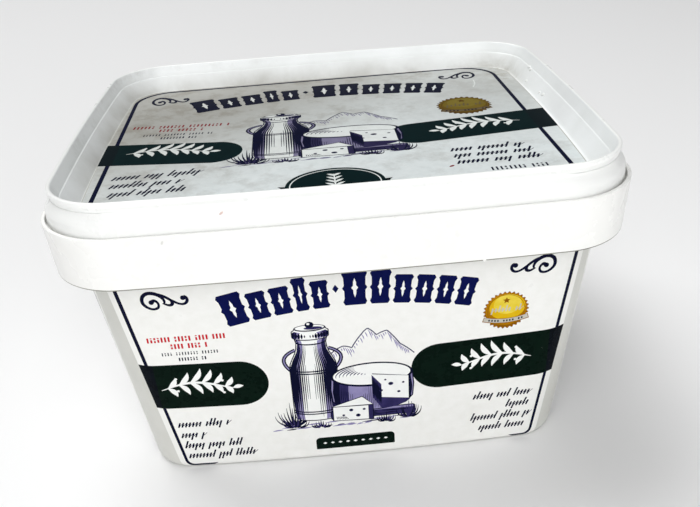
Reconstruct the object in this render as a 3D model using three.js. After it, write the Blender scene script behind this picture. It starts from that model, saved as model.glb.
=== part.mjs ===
// A closed rectangular food tub of white polypropylene with its push-on lid.
//
// Millimetres, +Z up. The origin is the centre of the foot, on the surface that the tub
// stands on. The front, with the long side, faces -Y, and the long side runs along X.
//
// Every level of the pack is one closed curve: a rectangle with round corners and sides
// that bow slightly outwards. The curve of the lid's crest is the master. Every other one
// is parallel to it, at an inset that is counted inwards, so a negative inset lies outside
// the crest. A piece is then a profile of insets and heights, carried once round.

import * as THREE from 'three';
import { mergeVertices } from 'three/addons/utils/BufferGeometryUtils.js';

// Driving dimensions of the master curve, the crest of the lid.
const CREST_HALF_LENGTH = 76.0;
const CREST_HALF_WIDTH = 64.6;
const CREST_CORNER_RADIUS = 17.1;
const SIDE_BOW = 1.6;

// Heights above the surface that the tub stands on.
const CREST_TOP = 95.2;
const PANEL_TOP = 87.1;
const COLLAR_TOP = 86.8;
const COLLAR_BOTTOM = 71.8;

// The tub's tapered walls.
const BASE_INSET = 12.6;
const BASE_CORNER_RADIUS = 11.3;
const WALL_INSET_AT_COLLAR = 4.6;
const WALL_CORNER_RADIUS_AT_COLLAR = 12.7;
const BASE_FILLET = 2.2;
const FOOT_WIDTH = 4.5;
const FOOT_HEIGHT = 1.0;

// The tub's collar, a skirt that hangs from a flange, and the rim inside the lid.
const COLLAR_INSET_TOP = -3.0;
const COLLAR_INSET_BOTTOM = -1.8;
const COLLAR_THICKNESS = 1.1;
const COLLAR_EDGE_ROUND = 0.35;
const FLANGE_THICKNESS = 1.3;
const SEAT_DEPTH = 1.95;
const SEAT_INSET = 0.3;
const RIM_TOP = 90.3;
const RIM_INSET_OUTSIDE = 0.5;
const RIM_INSET_INSIDE = 2.1;
const RIM_ROUND_OUTSIDE = 0.4;
const RIM_ROUND_INSIDE = 0.3;
const RIM_SHOULDER = 0.9;
const FILL_INSET = 4.6;

// The lid's thin wall.
const LID_THICKNESS = 1.1;
const CREST_WIDTH = 1.0;
const CREST_ROUND = 0.4;
const CREST_ROUND_RUN = 0.25;
const BEAD_INSET = 0.1;
const BEAD_DEPTH = 1.4;
const NECK_INSET = 0.55;
const NECK_HEIGHT = 92.9;
const SHOULDER_INSET = 0.2;
const SHOULDER_HEIGHT = 92.2;
const SKIRT_INSET_UPPER = -0.95;
const SKIRT_HEIGHT_UPPER = 90.2;
const SKIRT_INSET = -1.5;
const SKIRT_SWELL_HEIGHT = 87.6;
const SKIRT_FOOT_TUCK = 0.3;
const SKIRT_CORNER_EXTRA = 1.2;
const LEDGE_INSET = 2.7;
const LEDGE_HEIGHT = 91.8;
const LEDGE_WIDTH = 0.3;
const LEDGE_DROP = 0.1;
const PANEL_INSET = 6.4;
const PANEL_ROUND = 0.5;

// Room between the two pieces.
const CLEARANCE = 0.35;

// How finely the curve is cut up.
const CORNER_STEPS = 10;
const LONG_SIDE_STEPS = 8;
const SHORT_SIDE_STEPS = 6;
const STEPS_ROUND = 4 * CORNER_STEPS + 2 * LONG_SIDE_STEPS + 2 * SHORT_SIDE_STEPS;

const polypropylene = (name, color, roughness) =>
  new THREE.MeshStandardMaterial({ name, color, roughness, metalness: 0 });

// The parallel curve at one inset: STEPS_ROUND points, anticlockwise from the +X side.
function outline(inset, radius) {
  const length = CREST_HALF_LENGTH - inset - SIDE_BOW;
  const width = CREST_HALF_WIDTH - inset - SIDE_BOW;
  const quarter = Math.PI / 2;
  const points = [];
  const straight = (from, to, steps) => {
    for (let i = 1; i < steps; i++) points.push(from.clone().lerp(to, i / steps));
  };
  const corner = (signX, signY, startAngle) => {
    const centre = new THREE.Vector2(signX * (length - radius), signY * (width - radius));
    const arc = [];
    for (let i = 0; i <= CORNER_STEPS; i++) {
      const angle = startAngle + (quarter * i) / CORNER_STEPS;
      arc.push(new THREE.Vector2(Math.cos(angle), Math.sin(angle)).multiplyScalar(radius).add(centre));
    }
    return arc;
  };
  const corners = [
    corner(1, 1, 0),
    corner(-1, 1, quarter),
    corner(-1, -1, 2 * quarter),
    corner(1, -1, 3 * quarter),
  ];
  corners.forEach((arc, i) => {
    const next = corners[(i + 1) % 4];
    points.push(...arc);
    straight(arc[CORNER_STEPS], next[0], i % 2 === 0 ? LONG_SIDE_STEPS : SHORT_SIDE_STEPS);
  });
  return points.map(({ x, y }) => new THREE.Vector2(
    x + SIDE_BOW * (x / length) * (1 - (y / width) ** 2),
    y + SIDE_BOW * (y / width) * (1 - (x / length) ** 2),
  ));
}

// Parallel curves keep their centres of curvature, so the corner radius falls with the inset.
const parallelRadius = (inset) => CREST_CORNER_RADIUS - inset;

// A profile point: the inset, the height and, where it isn't the parallel one, the radius.
const at = (inset, height, radius = parallelRadius(inset)) => ({ inset, height, radius });

// A profile point on the axis, where every curve has shrunk to its centre.
const onAxis = (height) => ({ centre: true, height });

// Carries a closed profile once round the master curve.
function carryRound(profile) {
  const lathe = new THREE.LatheGeometry(
    profile.map(({ centre, height }) => new THREE.Vector2(centre ? 0 : 1, height)),
    STEPS_ROUND,
  );
  const curves = profile.map(({ centre, inset, radius }) => (centre ? null : outline(inset, radius)));
  const position = lathe.getAttribute('position');
  for (let v = 0; v < position.count; v++) {
    const row = v % profile.length;
    const step = Math.floor(v / profile.length) % STEPS_ROUND;
    const { x, y } = curves[row] ? curves[row][step] : { x: 0, y: 0 };
    position.setXYZ(v, x, y, profile[row].height);
  }
  lathe.deleteAttribute('normal');
  lathe.deleteAttribute('uv');
  const merged = mergeVertices(lathe, 1e-5);
  const corners = Array.from(merged.getIndex().array);
  const kept = [];
  for (let i = 0; i < corners.length; i += 3) {
    const [a, b, c] = corners.slice(i, i + 3);
    if (a !== b && b !== c && c !== a) kept.push(a, b, c);
  }
  merged.setIndex(kept);
  merged.computeVertexNormals();
  return merged;
}

function tub() {
  const seat = COLLAR_TOP - SEAT_DEPTH;
  const flangeUnderside = seat - FLANGE_THICKNESS;
  const wallSlope = (BASE_INSET - WALL_INSET_AT_COLLAR) / COLLAR_BOTTOM;
  const wallInset = (height) => BASE_INSET - wallSlope * height;
  const wallRadius = (height) =>
    BASE_CORNER_RADIUS + ((WALL_CORNER_RADIUS_AT_COLLAR - BASE_CORNER_RADIUS) * height) / COLLAR_BOTTOM;
  const wall = (height) => at(wallInset(height), height, wallRadius(height));
  const collarSlope = (COLLAR_INSET_BOTTOM - COLLAR_INSET_TOP) / (COLLAR_TOP - COLLAR_BOTTOM);
  const collarInset = (height) => COLLAR_INSET_TOP + collarSlope * (COLLAR_TOP - height);
  const outside = (height) => at(collarInset(height), height);
  const inside = (height) => at(collarInset(height) + COLLAR_THICKNESS, height);
  const footOuter = wallInset(0) + BASE_FILLET;
  const footInner = footOuter + FOOT_WIDTH;
  const footRadius = BASE_CORNER_RADIUS - BASE_FILLET;
  const filletSteps = 4;
  const filletPoints = Array.from({ length: filletSteps + 1 }, (_, i) => {
    const angle = (i * Math.PI) / (2 * filletSteps);
    const run = BASE_FILLET * (1 - Math.sin(angle));
    const rise = BASE_FILLET * (1 - Math.cos(angle));
    return at(wallInset(rise) + run, rise, wallRadius(rise) - run);
  });
  const fillTop = PANEL_TOP - LID_THICKNESS - CLEARANCE;
  return carryRound([
    onAxis(FOOT_HEIGHT),
    at(footInner + FOOT_HEIGHT, FOOT_HEIGHT, footRadius - FOOT_WIDTH + FOOT_HEIGHT),
    at(footInner, 0, footRadius - FOOT_WIDTH + 2 * FOOT_HEIGHT),
    ...filletPoints,
    wall(COLLAR_BOTTOM / 2),
    wall(COLLAR_BOTTOM),
    wall(flangeUnderside),
    inside(flangeUnderside),
    inside(COLLAR_BOTTOM),
    outside(COLLAR_BOTTOM),
    outside(COLLAR_TOP - COLLAR_EDGE_ROUND),
    at(collarInset(COLLAR_TOP) + COLLAR_EDGE_ROUND, COLLAR_TOP),
    at(collarInset(COLLAR_TOP) + COLLAR_THICKNESS, COLLAR_TOP),
    at(collarInset(COLLAR_TOP) + COLLAR_THICKNESS, seat),
    at(SEAT_INSET, seat),
    at(RIM_INSET_OUTSIDE, RIM_TOP - RIM_SHOULDER),
    at(RIM_INSET_OUTSIDE + RIM_ROUND_OUTSIDE, RIM_TOP),
    at(RIM_INSET_INSIDE - RIM_ROUND_INSIDE, RIM_TOP),
    at(RIM_INSET_INSIDE, RIM_TOP - RIM_SHOULDER),
    at(FILL_INSET, fillTop),
    onAxis(fillTop),
  ]);
}

function lid() {
  const skirtBottom = COLLAR_TOP - SEAT_DEPTH + CLEARANCE;
  const swell = (inset, height) => at(inset, height, parallelRadius(inset) + SKIRT_CORNER_EXTRA);
  const channelRoof = RIM_TOP + 2 * CLEARANCE;
  const panelUnderside = PANEL_TOP - LID_THICKNESS;
  const facetRun = PANEL_INSET - LEDGE_INSET - LEDGE_WIDTH;
  const facetDrop = LEDGE_HEIGHT - PANEL_TOP;
  const facetLength = Math.hypot(facetRun, facetDrop);
  const facetBack = (LID_THICKNESS * facetDrop) / facetLength;
  const facetBelow = (LID_THICKNESS * facetRun) / facetLength;
  const facetInsetAt = (height) =>
    PANEL_INSET - facetBack - (facetRun * (height + facetBelow - PANEL_TOP)) / facetDrop;
  return carryRound([
    onAxis(panelUnderside),
    at(facetInsetAt(panelUnderside), panelUnderside),
    at(facetInsetAt(channelRoof), channelRoof),
    at(NECK_INSET, channelRoof),
    at(SKIRT_INSET_UPPER + LID_THICKNESS, SKIRT_HEIGHT_UPPER),
    swell(SKIRT_INSET + LID_THICKNESS, SKIRT_SWELL_HEIGHT),
    swell(SKIRT_INSET + LID_THICKNESS, skirtBottom),
    swell(SKIRT_INSET + SKIRT_FOOT_TUCK, skirtBottom),
    swell(SKIRT_INSET, SKIRT_SWELL_HEIGHT),
    at(SKIRT_INSET_UPPER, SKIRT_HEIGHT_UPPER),
    at(SHOULDER_INSET, SHOULDER_HEIGHT),
    at(NECK_INSET, NECK_HEIGHT),
    at(BEAD_INSET, CREST_TOP - BEAD_DEPTH),
    at(0, CREST_TOP - CREST_ROUND),
    at(CREST_ROUND_RUN, CREST_TOP),
    at(CREST_WIDTH - CREST_ROUND_RUN, CREST_TOP),
    at(CREST_WIDTH, CREST_TOP - CREST_ROUND),
    at(LEDGE_INSET, LEDGE_HEIGHT),
    at(LEDGE_INSET + LEDGE_WIDTH, LEDGE_HEIGHT - LEDGE_DROP),
    at(PANEL_INSET - PANEL_ROUND / 2, PANEL_TOP + PANEL_ROUND),
    at(PANEL_INSET + PANEL_ROUND, PANEL_TOP),
    onAxis(PANEL_TOP),
  ]);
}

const pack = new THREE.Group();
const pieces = {
  tub: [tub(), polypropylene('tub_white', '#f1f1ee', 0.32)],
  lid: [lid(), polypropylene('lid_white', '#f0f2f3', 0.28)],
};
for (const [name, [geometry, material]] of Object.entries(pieces)) {
  const mesh = new THREE.Mesh(geometry, material);
  mesh.name = name;
  pack.add(mesh);
}

export default pack;
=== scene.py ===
# %% [markdown]
# # A closed cheese tub in white polypropylene
#
# The real pack is two thin mouldings. The tub tapers down to its foot and carries a hanging
# collar round its rim. The lid drops into that collar and holds a sunk panel, so that tubs
# can be stacked. The pictures are printed on a film that lies in the mould when the plastic
# is shot, so the print ends up level with the wall and shares its gloss.
#
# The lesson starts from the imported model. Its two solids stay where they are, and finer
# meshes of the same size take their place in the picture.

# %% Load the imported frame
import math
import random

import bpy
import numpy as np
from mathutils import Matrix, Vector
from mathutils.bvhtree import BVHTree
from mathutils.geometry import delaunay_2d_cdt


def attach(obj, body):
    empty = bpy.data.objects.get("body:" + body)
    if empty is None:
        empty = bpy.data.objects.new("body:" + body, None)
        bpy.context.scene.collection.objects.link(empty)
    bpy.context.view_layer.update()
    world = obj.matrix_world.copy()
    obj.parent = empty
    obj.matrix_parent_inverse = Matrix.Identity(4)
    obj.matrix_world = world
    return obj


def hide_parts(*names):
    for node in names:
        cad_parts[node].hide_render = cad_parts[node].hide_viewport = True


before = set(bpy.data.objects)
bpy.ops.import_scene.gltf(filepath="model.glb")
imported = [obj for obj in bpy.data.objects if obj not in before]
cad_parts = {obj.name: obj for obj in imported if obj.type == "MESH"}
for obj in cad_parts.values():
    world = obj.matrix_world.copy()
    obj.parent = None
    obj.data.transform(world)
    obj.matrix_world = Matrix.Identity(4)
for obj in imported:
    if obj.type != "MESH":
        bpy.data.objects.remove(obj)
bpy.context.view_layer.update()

MM = 0.001

# %% [markdown]
# ## The camera
#
# The photograph was taken by hand from close by, a little above the lid and with the phone
# tilted. Close range gives the strong taper of the body in the picture, so the distance
# matters as much as the angle. Azimuth, elevation, distance and tilt are kept as named
# values, and the lens follows from the focal length in pixels of a 700 pixel wide image.

# %% Camera
IMAGE_WIDTH_PX = 700
FOCAL_PX = 841.2
SENSOR_WIDTH = 36.0
CAMERA_AZIMUTH = math.radians(-2.18)
CAMERA_ELEVATION = math.radians(27.65)
CAMERA_TILT = math.radians(-3.92)
CAMERA_DISTANCE = 284.85 * MM
CAMERA_TARGET = Vector((3.67, 0.0, 42.63)) * MM


def direction(azimuth, elevation):
    """A unit vector outwards from the tub. Azimuth 0 is the front, and it grows to the right."""
    return Vector((math.sin(azimuth) * math.cos(elevation),
                   -math.cos(azimuth) * math.cos(elevation), math.sin(elevation)))


def add_camera():
    """A camera that looks at CAMERA_TARGET, turned about its own line of sight by the tilt."""
    back = direction(CAMERA_AZIMUTH, CAMERA_ELEVATION)
    level_right = Vector((0, 0, 1)).cross(back).normalized()
    level_up = back.cross(level_right)
    right = level_right * math.cos(CAMERA_TILT) + level_up * math.sin(CAMERA_TILT)
    up = back.cross(right)
    turn = Matrix((right, up, back)).transposed().to_4x4()
    data = bpy.data.cameras.new("camera")
    data.sensor_width = SENSOR_WIDTH
    data.lens = FOCAL_PX * SENSOR_WIDTH / IMAGE_WIDTH_PX
    data.clip_start = 10 * MM
    camera = bpy.data.objects.new("camera", data)
    camera.matrix_world = Matrix.Translation(CAMERA_TARGET + back * CAMERA_DISTANCE) @ turn
    bpy.context.scene.collection.objects.link(camera)
    bpy.context.scene.camera = camera
    return camera


camera = add_camera()
print("lens in mm:", round(camera.data.lens, 1))

# %% [markdown]
# ## The master curve
#
# Every level of the pack is one rounded rectangle, and all of them run parallel to the crest
# of the lid. So one function gives the curve at any inset, and a piece needs only a profile
# of insets and heights. The sides bow out by a little over a millimetre, as thin moulded
# walls do. The same sizes drive the solids, so the fine meshes lie on them.

# %% Master curve
CREST_HALF_LENGTH = 76.0
CREST_HALF_WIDTH = 64.6
CREST_CORNER_RADIUS = 17.1
SIDE_BOW = 1.6

CREST_TOP = 95.2
PANEL_TOP = 87.1
COLLAR_TOP = 86.8
COLLAR_BOTTOM = 71.8

BASE_INSET = 12.6
BASE_CORNER_RADIUS = 11.3
WALL_INSET_AT_COLLAR = 4.6
WALL_CORNER_RADIUS_AT_COLLAR = 12.7
BASE_FILLET = 2.2

CORNER_STEPS = 20
SIDE_STEPS = 22
STEPS_ROUND = 4 * (CORNER_STEPS + SIDE_STEPS)


def outline(inset, radius):
    """The closed curve at one inset in mm, STEPS_ROUND points, anticlockwise."""
    length = CREST_HALF_LENGTH - inset - SIDE_BOW
    width = CREST_HALF_WIDTH - inset - SIDE_BOW
    arcs = []
    for quarter, (sx, sy) in enumerate([(1, 1), (-1, 1), (-1, -1), (1, -1)]):
        arc = []
        for i in range(CORNER_STEPS + 1):
            angle = (quarter + i / CORNER_STEPS) * math.pi / 2
            arc.append((sx * (length - radius) + radius * math.cos(angle),
                        sy * (width - radius) + radius * math.sin(angle)))
        arcs.append(arc)
    points = []
    for arc, following in zip(arcs, arcs[1:] + arcs[:1]):
        points += arc
        (x0, y0), (x1, y1) = arc[-1], following[0]
        for i in range(1, SIDE_STEPS):
            t = i / SIDE_STEPS
            points.append((x0 + (x1 - x0) * t, y0 + (y1 - y0) * t))
    return [(x + SIDE_BOW * (x / length) * (1 - (y / width) ** 2),
             y + SIDE_BOW * (y / width) * (1 - (x / length) ** 2)) for x, y in points]


def at(inset, height, radius=None, ease=0.0):
    """A profile point. Its corner radius is the parallel one unless another is given."""
    return (inset, height, CREST_CORNER_RADIUS - inset if radius is None else radius, ease)


print("points round the pack:", len(outline(0, CREST_CORNER_RADIUS)), "=", STEPS_ROUND)

# %% [markdown]
# ## From a profile to a skin
#
# A moulding has no knife edges: the tool leaves a radius of a few tenths of a millimetre on
# every corner, and that radius is what catches the light. Each profile point may therefore
# carry an ease, the distance from the corner at which its arc starts. The eased profile is
# then carried round the master curve. A weighted-normal modifier keeps the large faces flat
# to the eye beside those small arcs.

# %% Profile to mesh
EASE_STEPS = 5


def eased(profile):
    """Replaces each eased corner of the profile by an arc."""
    dense = []
    for i, point in enumerate(profile):
        ease = point[3]
        if not ease or i in (0, len(profile) - 1):
            dense.append(point[:3])
            continue
        here = Vector(point[:2])
        before = (Vector(profile[i - 1][:2]) - here).normalized()
        after = (Vector(profile[i + 1][:2]) - here).normalized()
        half = before.angle(after) / 2
        centre = here + (before + after).normalized() * (ease / math.cos(half))
        start, end = here + before * ease - centre, here + after * ease - centre
        for step in range(EASE_STEPS + 1):
            t = step / EASE_STEPS
            arm = start.normalized().slerp(end.normalized(), t) * start.length
            inset, height = centre + arm
            dense.append((inset, height, point[2] + here[0] - inset))
    return dense


def mesh_object(name, vertices, faces, smooth=True):
    """A new object at the origin, from points in mm."""
    mesh = bpy.data.meshes.new(name)
    mesh.from_pydata([tuple(c * MM for c in v) for v in vertices], [], faces)
    mesh.polygons.foreach_set("use_smooth", [smooth] * len(mesh.polygons))
    piece = bpy.data.objects.new(name, mesh)
    bpy.context.scene.collection.objects.link(piece)
    return piece


def carried_round(name, bottom_height, profile, top_height, tone=None):
    """A closed skin: the profile round the master curve, and a flat cap at each end.

    tone gives each ring of faces its material number from its inset and height."""
    rows = eased(profile)
    vertices = [(x, y, height) for inset, height, radius in rows for x, y in outline(inset, radius)]
    faces = []
    for row in range(len(rows) - 1):
        for i in range(STEPS_ROUND):
            a, b = row * STEPS_ROUND + i, row * STEPS_ROUND + (i + 1) % STEPS_ROUND
            faces.append((a, b, b + STEPS_ROUND, a + STEPS_ROUND))
    low, high = len(vertices), len(vertices) + 1
    vertices += [(0, 0, bottom_height), (0, 0, top_height)]
    last = (len(rows) - 1) * STEPS_ROUND
    for i in range(STEPS_ROUND):
        j = (i + 1) % STEPS_ROUND
        faces.append((low, j, i))
        faces.append((high, last + i, last + j))
    piece = mesh_object(name, vertices, faces)
    if tone:
        numbers = [tone((a[0] + b[0]) / 2, (a[1] + b[1]) / 2) for a, b in zip(rows, rows[1:])]
        for number, face in enumerate(piece.data.polygons):
            face.material_index = numbers[min(number // STEPS_ROUND, len(numbers) - 1)]
    piece.modifiers.new("flat faces stay flat", "WEIGHTED_NORMAL").keep_sharp = True
    return piece


print("an eased corner has", EASE_STEPS + 1, "points")

# %% [markdown]
# ## Colours and a helper for nodes
#
# Colours are written as the sRGB hex values that a picture shows. Blender's sockets want
# linear light, so one function turns them. A second small helper adds a node, sets it and
# links it, which keeps each material down to a readable list.

# %% Colour and node helpers
def linear(hex_colour):
    """An sRGB hex colour as linear RGBA."""
    parts = [int(hex_colour[i:i + 2], 16) / 255 for i in (1, 3, 5)]
    return tuple(c / 12.92 if c <= 0.04045 else ((c + 0.055) / 1.055) ** 2.4 for c in parts) + (1.0,)


def node(material, kind, links=(), **settings):
    """Adds a node. links are (source socket, input), and settings name properties or inputs."""
    made = material.node_tree.nodes.new(kind)
    for name, value in settings.items():
        if hasattr(made, name):
            setattr(made, name, value)
        else:
            made.inputs[name.replace("_", " ")].default_value = value
    for source, target in links:
        material.node_tree.links.new(source, made.inputs[target])
    return made


def new_material(name):
    """An empty node material with its Principled shader and its output."""
    material = bpy.data.materials.new(name)
    material.use_nodes = True
    return material, material.node_tree.nodes["Principled BSDF"]


print("white in linear light:", [round(c, 3) for c in linear("#ffffff")])

# %% [markdown]
# ## White polypropylene
#
# Food tubs are moulded in a random copolymer with titanium dioxide. The surface comes from a
# polished steel tool, so it is glossy with a very faint orange peel, and light goes a short
# way into it, which softens the shaded corners. Handling leaves fine scuffs that show as
# slightly duller, slightly greyer patches.
#
# The white inside the lid is mixed with grey, and part of it is painted shade: the grey lies
# low on the facets beside the panel, thickens towards the back left, and its smudges grow
# darker towards the left facets. A patch in the back right corner is real dust. So the share
# of grey is worked out from the place on the lid and broken up by noise.

# %% Polypropylene
PP_IOR = 1.49
GLOW = 0.12
GLOW_MM = 1.5
SCUFF_MM = 14.0
SCUFF_STOPS = (0.35, 0.78)
SCUFF_RANGE = (0.3, 0.8)
SCUFF_DULLS = 0.07
PEEL_MM = 2.4
PEEL_DEPTH_MM = 0.2
PEEL_STRENGTH = 0.05

# Painted shade inside the lid: grey low on the facets, towards the back left and on the left facets.
SHADE_AND_DUST_ALONG = (-0.6, 0.8, 0.0)
LOW_SHADE_TOP = 93.0
BACK_LEFT_SHADE_FROM = -10.0
BACK_LEFT_SHADE_TO = 40.0
SMUDGE_MM = 7.5
SMUDGE_RANGE = (0.48, 0.72)
SMUDGE_SHARE = 0.24
SMUDGE_SHADE_LEAST = 0.1
SMUDGE_SHADE_RIGHT = 10.0
SMUDGE_SHADE_LEFT = -66.0
DIRTY_CORNER = (66.0 * MM, 55.0 * MM, 88.0 * MM)
DIRTY_REACH = 34.0
DIRTY_GAIN = 1.3
DUST_AND_SHADE_GREY = "#8f8a7c"


def corner_dirt(material, place, noise, most, reach):
    """A patchy share that grows towards the dirty corner of the lid, at the back right."""
    away = node(material, "ShaderNodeVectorMath", [(place, 0)], operation="DISTANCE")
    away.inputs[1].default_value = DIRTY_CORNER
    close = node(material, "ShaderNodeMapRange", [(away.outputs["Value"], "Value")],
                 From_Min=reach * MM, From_Max=0.0, To_Max=most)
    return node(material, "ShaderNodeMath", [(close.outputs["Result"], 0), (noise.outputs["Fac"], 1)],
                operation="MULTIPLY").outputs["Value"]


def polypropylene(name, fresh, handled, roughness, grime=0.0):
    """Polished white PP: gloss broken by handling, and a little light inside the wall.

    Grime is the share of grey: painted shade low on the facets, towards the back left and on the left facets,
    mixed with smudges and with real dust in the back right corner."""
    material, shader = new_material(name)
    shader.inputs["IOR"].default_value = PP_IOR
    shader.inputs["Subsurface Weight"].default_value = GLOW
    shader.inputs["Subsurface Radius"].default_value = (1.0, 1.0, 1.0)
    shader.inputs["Subsurface Scale"].default_value = GLOW_MM * MM
    place = node(material, "ShaderNodeTexCoord").outputs["Object"]
    scuffs = node(material, "ShaderNodeTexNoise", [(place, "Vector")],
                  Scale=1 / (SCUFF_MM * MM), Detail=5.0, Roughness=0.55, Distortion=0.2)
    worn = node(material, "ShaderNodeValToRGB", [(scuffs.outputs["Fac"], "Fac")])
    for stop, position, tone in zip(worn.color_ramp.elements, SCUFF_STOPS, (fresh, handled)):
        stop.position, stop.color = position, linear(tone)
    dulled = node(material, "ShaderNodeMapRange", [(scuffs.outputs["Fac"], "Value")],
                  From_Min=SCUFF_RANGE[0], From_Max=SCUFF_RANGE[1],
                  To_Min=roughness, To_Max=roughness + SCUFF_DULLS)
    peel = node(material, "ShaderNodeTexNoise", [(place, "Vector")],
                Scale=1 / (PEEL_MM * MM), Detail=2.0)
    relief = node(material, "ShaderNodeBump", [(peel.outputs["Fac"], "Height")],
                  Strength=PEEL_STRENGTH, Distance=PEEL_DEPTH_MM * MM)
    join = material.node_tree.links.new
    shown = worn.outputs["Color"]
    if grime:
        level = node(material, "ShaderNodeSeparateXYZ", [(place, "Vector")])
        # Painted shade: grey that grows low on the facets and towards the back left.
        near = node(material, "ShaderNodeMapRange", [(level.outputs["Z"], "Value")],
                    From_Min=LOW_SHADE_TOP * MM, From_Max=PANEL_TOP * MM, To_Max=grime)
        along = node(material, "ShaderNodeVectorMath", [(place, 0)], operation="DOT_PRODUCT")
        along.inputs[1].default_value = SHADE_AND_DUST_ALONG
        back_left_shade = node(material, "ShaderNodeMapRange", [(along.outputs["Value"], "Value")],
                      From_Min=BACK_LEFT_SHADE_FROM * MM, From_Max=BACK_LEFT_SHADE_TO * MM)
        low_back_left_shade = node(material, "ShaderNodeMath",
                     [(near.outputs["Result"], 0), (back_left_shade.outputs["Result"], 1)], operation="MULTIPLY")
        patchy = node(material, "ShaderNodeMath",
                      [(low_back_left_shade.outputs["Value"], 0), (scuffs.outputs["Fac"], 1)], operation="MULTIPLY")
        wiped = node(material, "ShaderNodeTexNoise", [(place, "Vector")],
                     Scale=1 / (SMUDGE_MM * MM), Detail=6.0, Roughness=0.7, Distortion=0.15)
        smudge = node(material, "ShaderNodeMapRange", [(wiped.outputs["Fac"], "Value")],
                      From_Min=SMUDGE_RANGE[0], From_Max=SMUDGE_RANGE[1], To_Max=grime * SMUDGE_SHARE)
        # Painted shade: the smudges grow darker towards the left facets.
        left_facet_shade = node(material, "ShaderNodeMapRange", [(level.outputs["X"], "Value")],
                        From_Min=SMUDGE_SHADE_RIGHT * MM, From_Max=SMUDGE_SHADE_LEFT * MM, To_Min=SMUDGE_SHADE_LEAST)
        local = node(material, "ShaderNodeMath",
                     [(smudge.outputs["Result"], 0), (left_facet_shade.outputs["Result"], 1)], operation="MULTIPLY")
        thicker = node(material, "ShaderNodeMath",
                       [(patchy.outputs["Value"], 0), (local.outputs["Value"], 1)], operation="MAXIMUM")
        # Real dust in the back right corner, low on the facets.
        dirt = corner_dirt(material, place, wiped, grime * DIRTY_GAIN, DIRTY_REACH)
        settled = node(material, "ShaderNodeMath",
                       [(dirt, 0), (near.outputs["Result"], 1)], operation="MULTIPLY")
        dust_and_shade = node(material, "ShaderNodeMath",
                       [(thicker.outputs["Value"], 0), (settled.outputs["Value"], 1)], operation="MAXIMUM")
        dusty = node(material, "ShaderNodeMix", [(dust_and_shade.outputs["Value"], "Factor")], data_type="RGBA")
        dusty.inputs["B"].default_value = linear(DUST_AND_SHADE_GREY)
        join(shown, dusty.inputs["A"])
        shown = dusty.outputs["Result"]
    join(shown, shader.inputs["Base Color"])
    join(dulled.outputs["Result"], shader.inputs["Roughness"])
    join(relief.outputs["Normal"], shader.inputs["Normal"])
    return material


collar_plastic = polypropylene("white_pp_polished_collar", "#f6f6f3", "#f2f2ef", 0.24)
# The thin wall's grey is partly painted shade for the corners that turn away from the light.
wall_plastic_with_painted_shade = polypropylene("white_pp_thin_wall_painted_shade", "#d2d2cc", "#c8c9c2", 0.28)
# The lip's dark grey is painted shade under the collar's lower edge.
lip_plastic_painted_shade = polypropylene("white_pp_lip_painted_shade", "#87877b", "#77776c", 0.45)
lid_plastic = polypropylene("white_pp_polished_lid", "#f5f6f4", "#f0f1ef", 0.26)
# The inside of the lid: its grey is partly dust and partly painted shade.
sunk_plastic = polypropylene("white_pp_lid_inside_dust_and_painted_shade", "#f7fafa", "#eff2f1", 0.30, 1.0)
print("plastics:", collar_plastic.name, wall_plastic_with_painted_shade.name, lid_plastic.name)

# %% [markdown]
# ## The tub
#
# The tub is one moulding: foot, tapered wall, flange and hanging collar. Its wall is thin
# enough to let some light through to the cheese, and it is coloured greyer than the collar,
# partly as painted shade for the corners that turn away from the light. The collar is a thin
# skirt with a channel behind it, so it needs both of its faces and a rounded lower edge. That
# edge is painted dark grey as shade, which draws the fine dark line under the collar.
# The foot has the usual ring, which keeps the centre of the base clear of the table.

# %% Tub
FOOT_WIDTH = 4.5
FOOT_HEIGHT = 1.0
COLLAR_INSET_TOP = -3.0
COLLAR_INSET_BOTTOM = -1.8
COLLAR_THICKNESS = 1.1
FLANGE_THICKNESS = 1.3
SEAT_DEPTH = 1.95
RIM_TOP = 90.3
EDGE_EASE = 0.3
LIP_TOP = COLLAR_BOTTOM + 0.42
CORE_TOP = PANEL_TOP - 1.45
FILLET_STEPS = 8


def wall_level(height):
    """Inset and corner radius of the tub's wall at a height, with the fillet at the foot."""
    part = height / COLLAR_BOTTOM
    inset = BASE_INSET + (WALL_INSET_AT_COLLAR - BASE_INSET) * part
    radius = BASE_CORNER_RADIUS + (WALL_CORNER_RADIUS_AT_COLLAR - BASE_CORNER_RADIUS) * part
    if height < BASE_FILLET:
        run = BASE_FILLET * (1 - math.sin(math.acos(1 - height / BASE_FILLET)))
        inset, radius = inset + run, radius - run
    return inset, radius


def collar_inset(height):
    """Inset of the collar's outer face, which leans in towards its lower edge."""
    part = (COLLAR_TOP - height) / (COLLAR_TOP - COLLAR_BOTTOM)
    return COLLAR_INSET_TOP + (COLLAR_INSET_BOTTOM - COLLAR_INSET_TOP) * part


def tub_tone(inset, height):
    """Material number: 0 for collar and rim, 1 for the thin wall, greyed partly as painted shade, 2 for the
    collar's lower edge, painted dark as shade.
    """
    if height > LIP_TOP:
        return 0
    return 2 if inset < 0 else 1


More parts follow.
